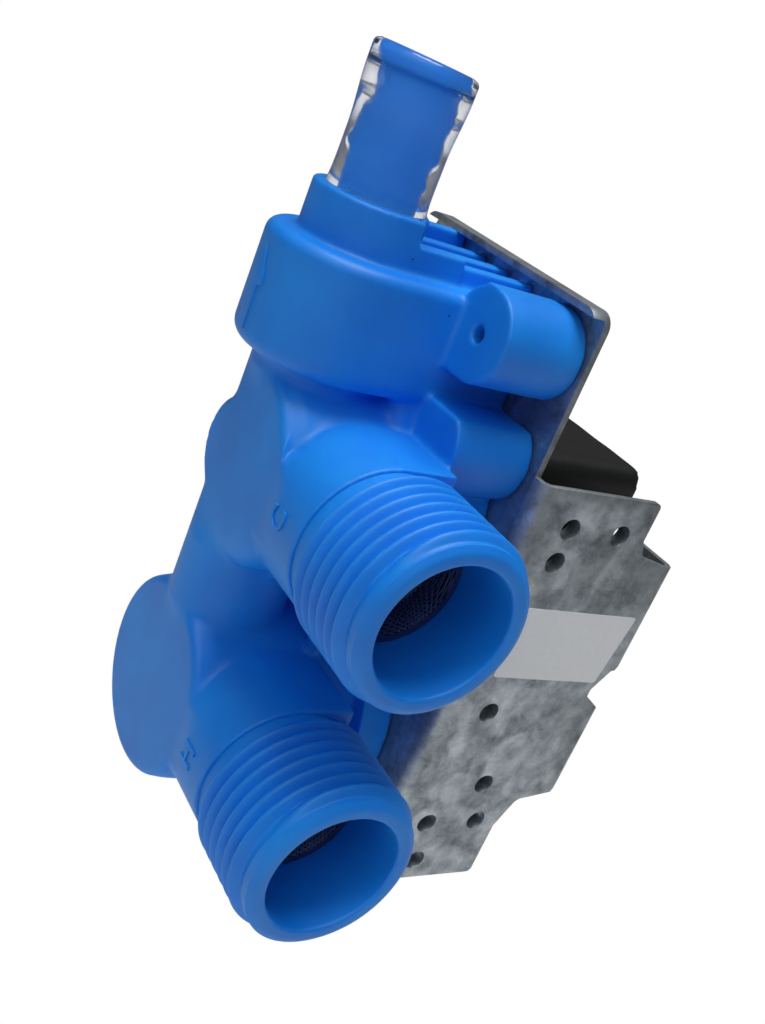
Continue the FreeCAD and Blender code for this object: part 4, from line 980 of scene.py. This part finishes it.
def edged(node, name, material, width):
    """A copy of a node with a fine bevel on its sharp edges."""
    bm = bmesh.new()
    bm.from_mesh(nodes[node].data)
    bmesh.ops.remove_doubles(bm, verts=bm.verts, dist=1e-7)
    bmesh.ops.scale(bm, vec=(1 / MM, 1 / MM, 1 / MM), verts=bm.verts)
    bmesh.ops.dissolve_limit(bm, angle_limit=math.radians(1.0), verts=bm.verts, edges=bm.edges)
    corners = [edge for edge in bm.edges if is_corner(edge)]
    bmesh.ops.bevel(
        bm, geom=corners, offset=CORNER_ROUND, affect="EDGES", segments=4, profile=0.5, material=-1,
        clamp_overlap=True,
    )
    sharp = [edge for edge in bm.edges if is_sharp(edge)]
    bmesh.ops.bevel(
        bm, geom=sharp, offset=width, affect="EDGES", segments=2, profile=0.5, material=-1,
        clamp_overlap=True,
    )
    return finished(bm, name, material, [node])


edged("bracket", "folded_bracket", STEEL, EDGE_ROUND)

# %% [markdown]
# The coils are over-moulded by hand-fed tools, so their faces are slightly lumpy.
# The remesh softens their edges, and a slow noise moves the skin by a tenth of a millimetre.

# %% The coils
COIL_VOXEL = 0.8
LUMP_WIDE = 6.0
LUMP_DEEP = 0.12
for side in ("cold", "hot"):
    coil_mesh = remeshed(side + "_coil", COIL_VOXEL)
    smoothed(coil_mesh, 3)
    bm = bmesh.new()
    bm.from_mesh(coil_mesh)
    bm.normal_update()
    for vert in bm.verts:
        lump = (noise.noise(vert.co / (LUMP_WIDE * MM)) - 0.5) * LUMP_DEEP
        vert.co += vert.normal * lump * MM
    bm.to_mesh(coil_mesh)
    bm.free()
    hang(coil_mesh, side + "_moulded_coil", BLACK, [side + "_coil"], crease=60.0)

# %% [markdown]
# The floor is a plain white board, well below the valve, so no shadow reaches it.
# The light is soft daylight: a dim room all round, a window above and a wide one at the front left.
# The camera sees the room and the board as pure white, while they light the valve more dimly.
# A Light Path node tells the camera's rays from the light's.
# The clear hose lets nearly all of that white through, as it does before a pale wall.

# %% Floor and light
BOARD, place = new_material("matte_white_board")
fibre = add_node(BOARD, "TexNoise", Vector=place, Scale=1 / 0.01, Detail=2.0)
paint = add_node(BOARD, "Mix", {"data_type": "RGBA"}, i0=(fibre, "Fac"), i6="#fafafa", i7="#ffffff")
shader = add_node(BOARD, "BsdfPrincipled", Base_Color=(paint, 2), Roughness=0.9)
glow = add_node(BOARD, "Emission", Color="#ffffff", Strength=1.0)
rays = add_node(BOARD, "LightPath")
seen = add_node(BOARD, "MixShader", i0=(rays, "Is Camera Ray"), i1=(shader, "BSDF"), i2=(glow, "Emission"))
add_node(BOARD, "OutputMaterial", Surface=(seen, "Shader"))
bm = bmesh.new()
bmesh.ops.create_grid(bm, x_segments=1, y_segments=1, size=8.0)
bmesh.ops.translate(bm, vec=(0, 0, cad_box[0][2] - 0.1), verts=bm.verts)
floor_mesh = plain_mesh(bm, "pale_floor")
floor = bpy.data.objects.new("pale_floor", floor_mesh)
bpy.context.collection.objects.link(floor)
floor_mesh.materials.append(BOARD)

world = bpy.data.worlds.new("studio")
bpy.context.scene.world = world
world.use_nodes = True
world.node_tree.nodes.clear()
SKY_LOW, SKY_HIGH = 0.08, 0.12
heading = add_node(world, "TexCoord")
level = add_node(world, "SeparateXYZ", Vector=(heading, "Generated"))
glow = add_node(
    world, "MapRange", Value=(level, "Z"), From_Min=-0.3, From_Max=0.9, To_Min=SKY_LOW,
    To_Max=SKY_HIGH,
)
rays = add_node(world, "LightPath")
through = add_node(
    world, "Math", {"operation": "MULTIPLY"}, i0=(rays, "Is Transmission Ray"), i1=0.85,
)
share = add_node(
    world, "Math", {"operation": "MAXIMUM"}, i0=(rays, "Is Camera Ray"), i1=(through, "Value"),
)
strength = add_node(
    world, "MapRange", Value=(share, "Value"), To_Min=(glow, "Result"), To_Max=1.0,
)
sky = add_node(world, "Background", Color="#ffffff", Strength=(strength, "Result"))
add_node(world, "OutputWorld", Surface=(sky, "Background"))


def soft_light(name, place, target, width, power):
    """A round lamp of a width in metres, turned towards a target."""
    data = bpy.data.lights.new(name, "AREA")
    data.shape = "DISK"
    data.size = width
    data.energy = power
    lamp = bpy.data.objects.new(name, data)
    bpy.context.collection.objects.link(lamp)
    away = Vector(place) - Vector(target)
    lamp.matrix_world = Matrix.Translation(place) @ away.to_track_quat("Z", "Y").to_matrix().to_4x4()
    print(name, "at", place)


MIDDLE = (-0.03, 0.0, 0.02)
soft_light("window", (-0.03, 0.0, 0.77), MIDDLE, 0.45, 4.3)
soft_light("side_window", (-0.42, -0.28, 0.61), MIDDLE, 0.9, 1.9)
bpy.context.scene.view_settings.view_transform = "Standard"
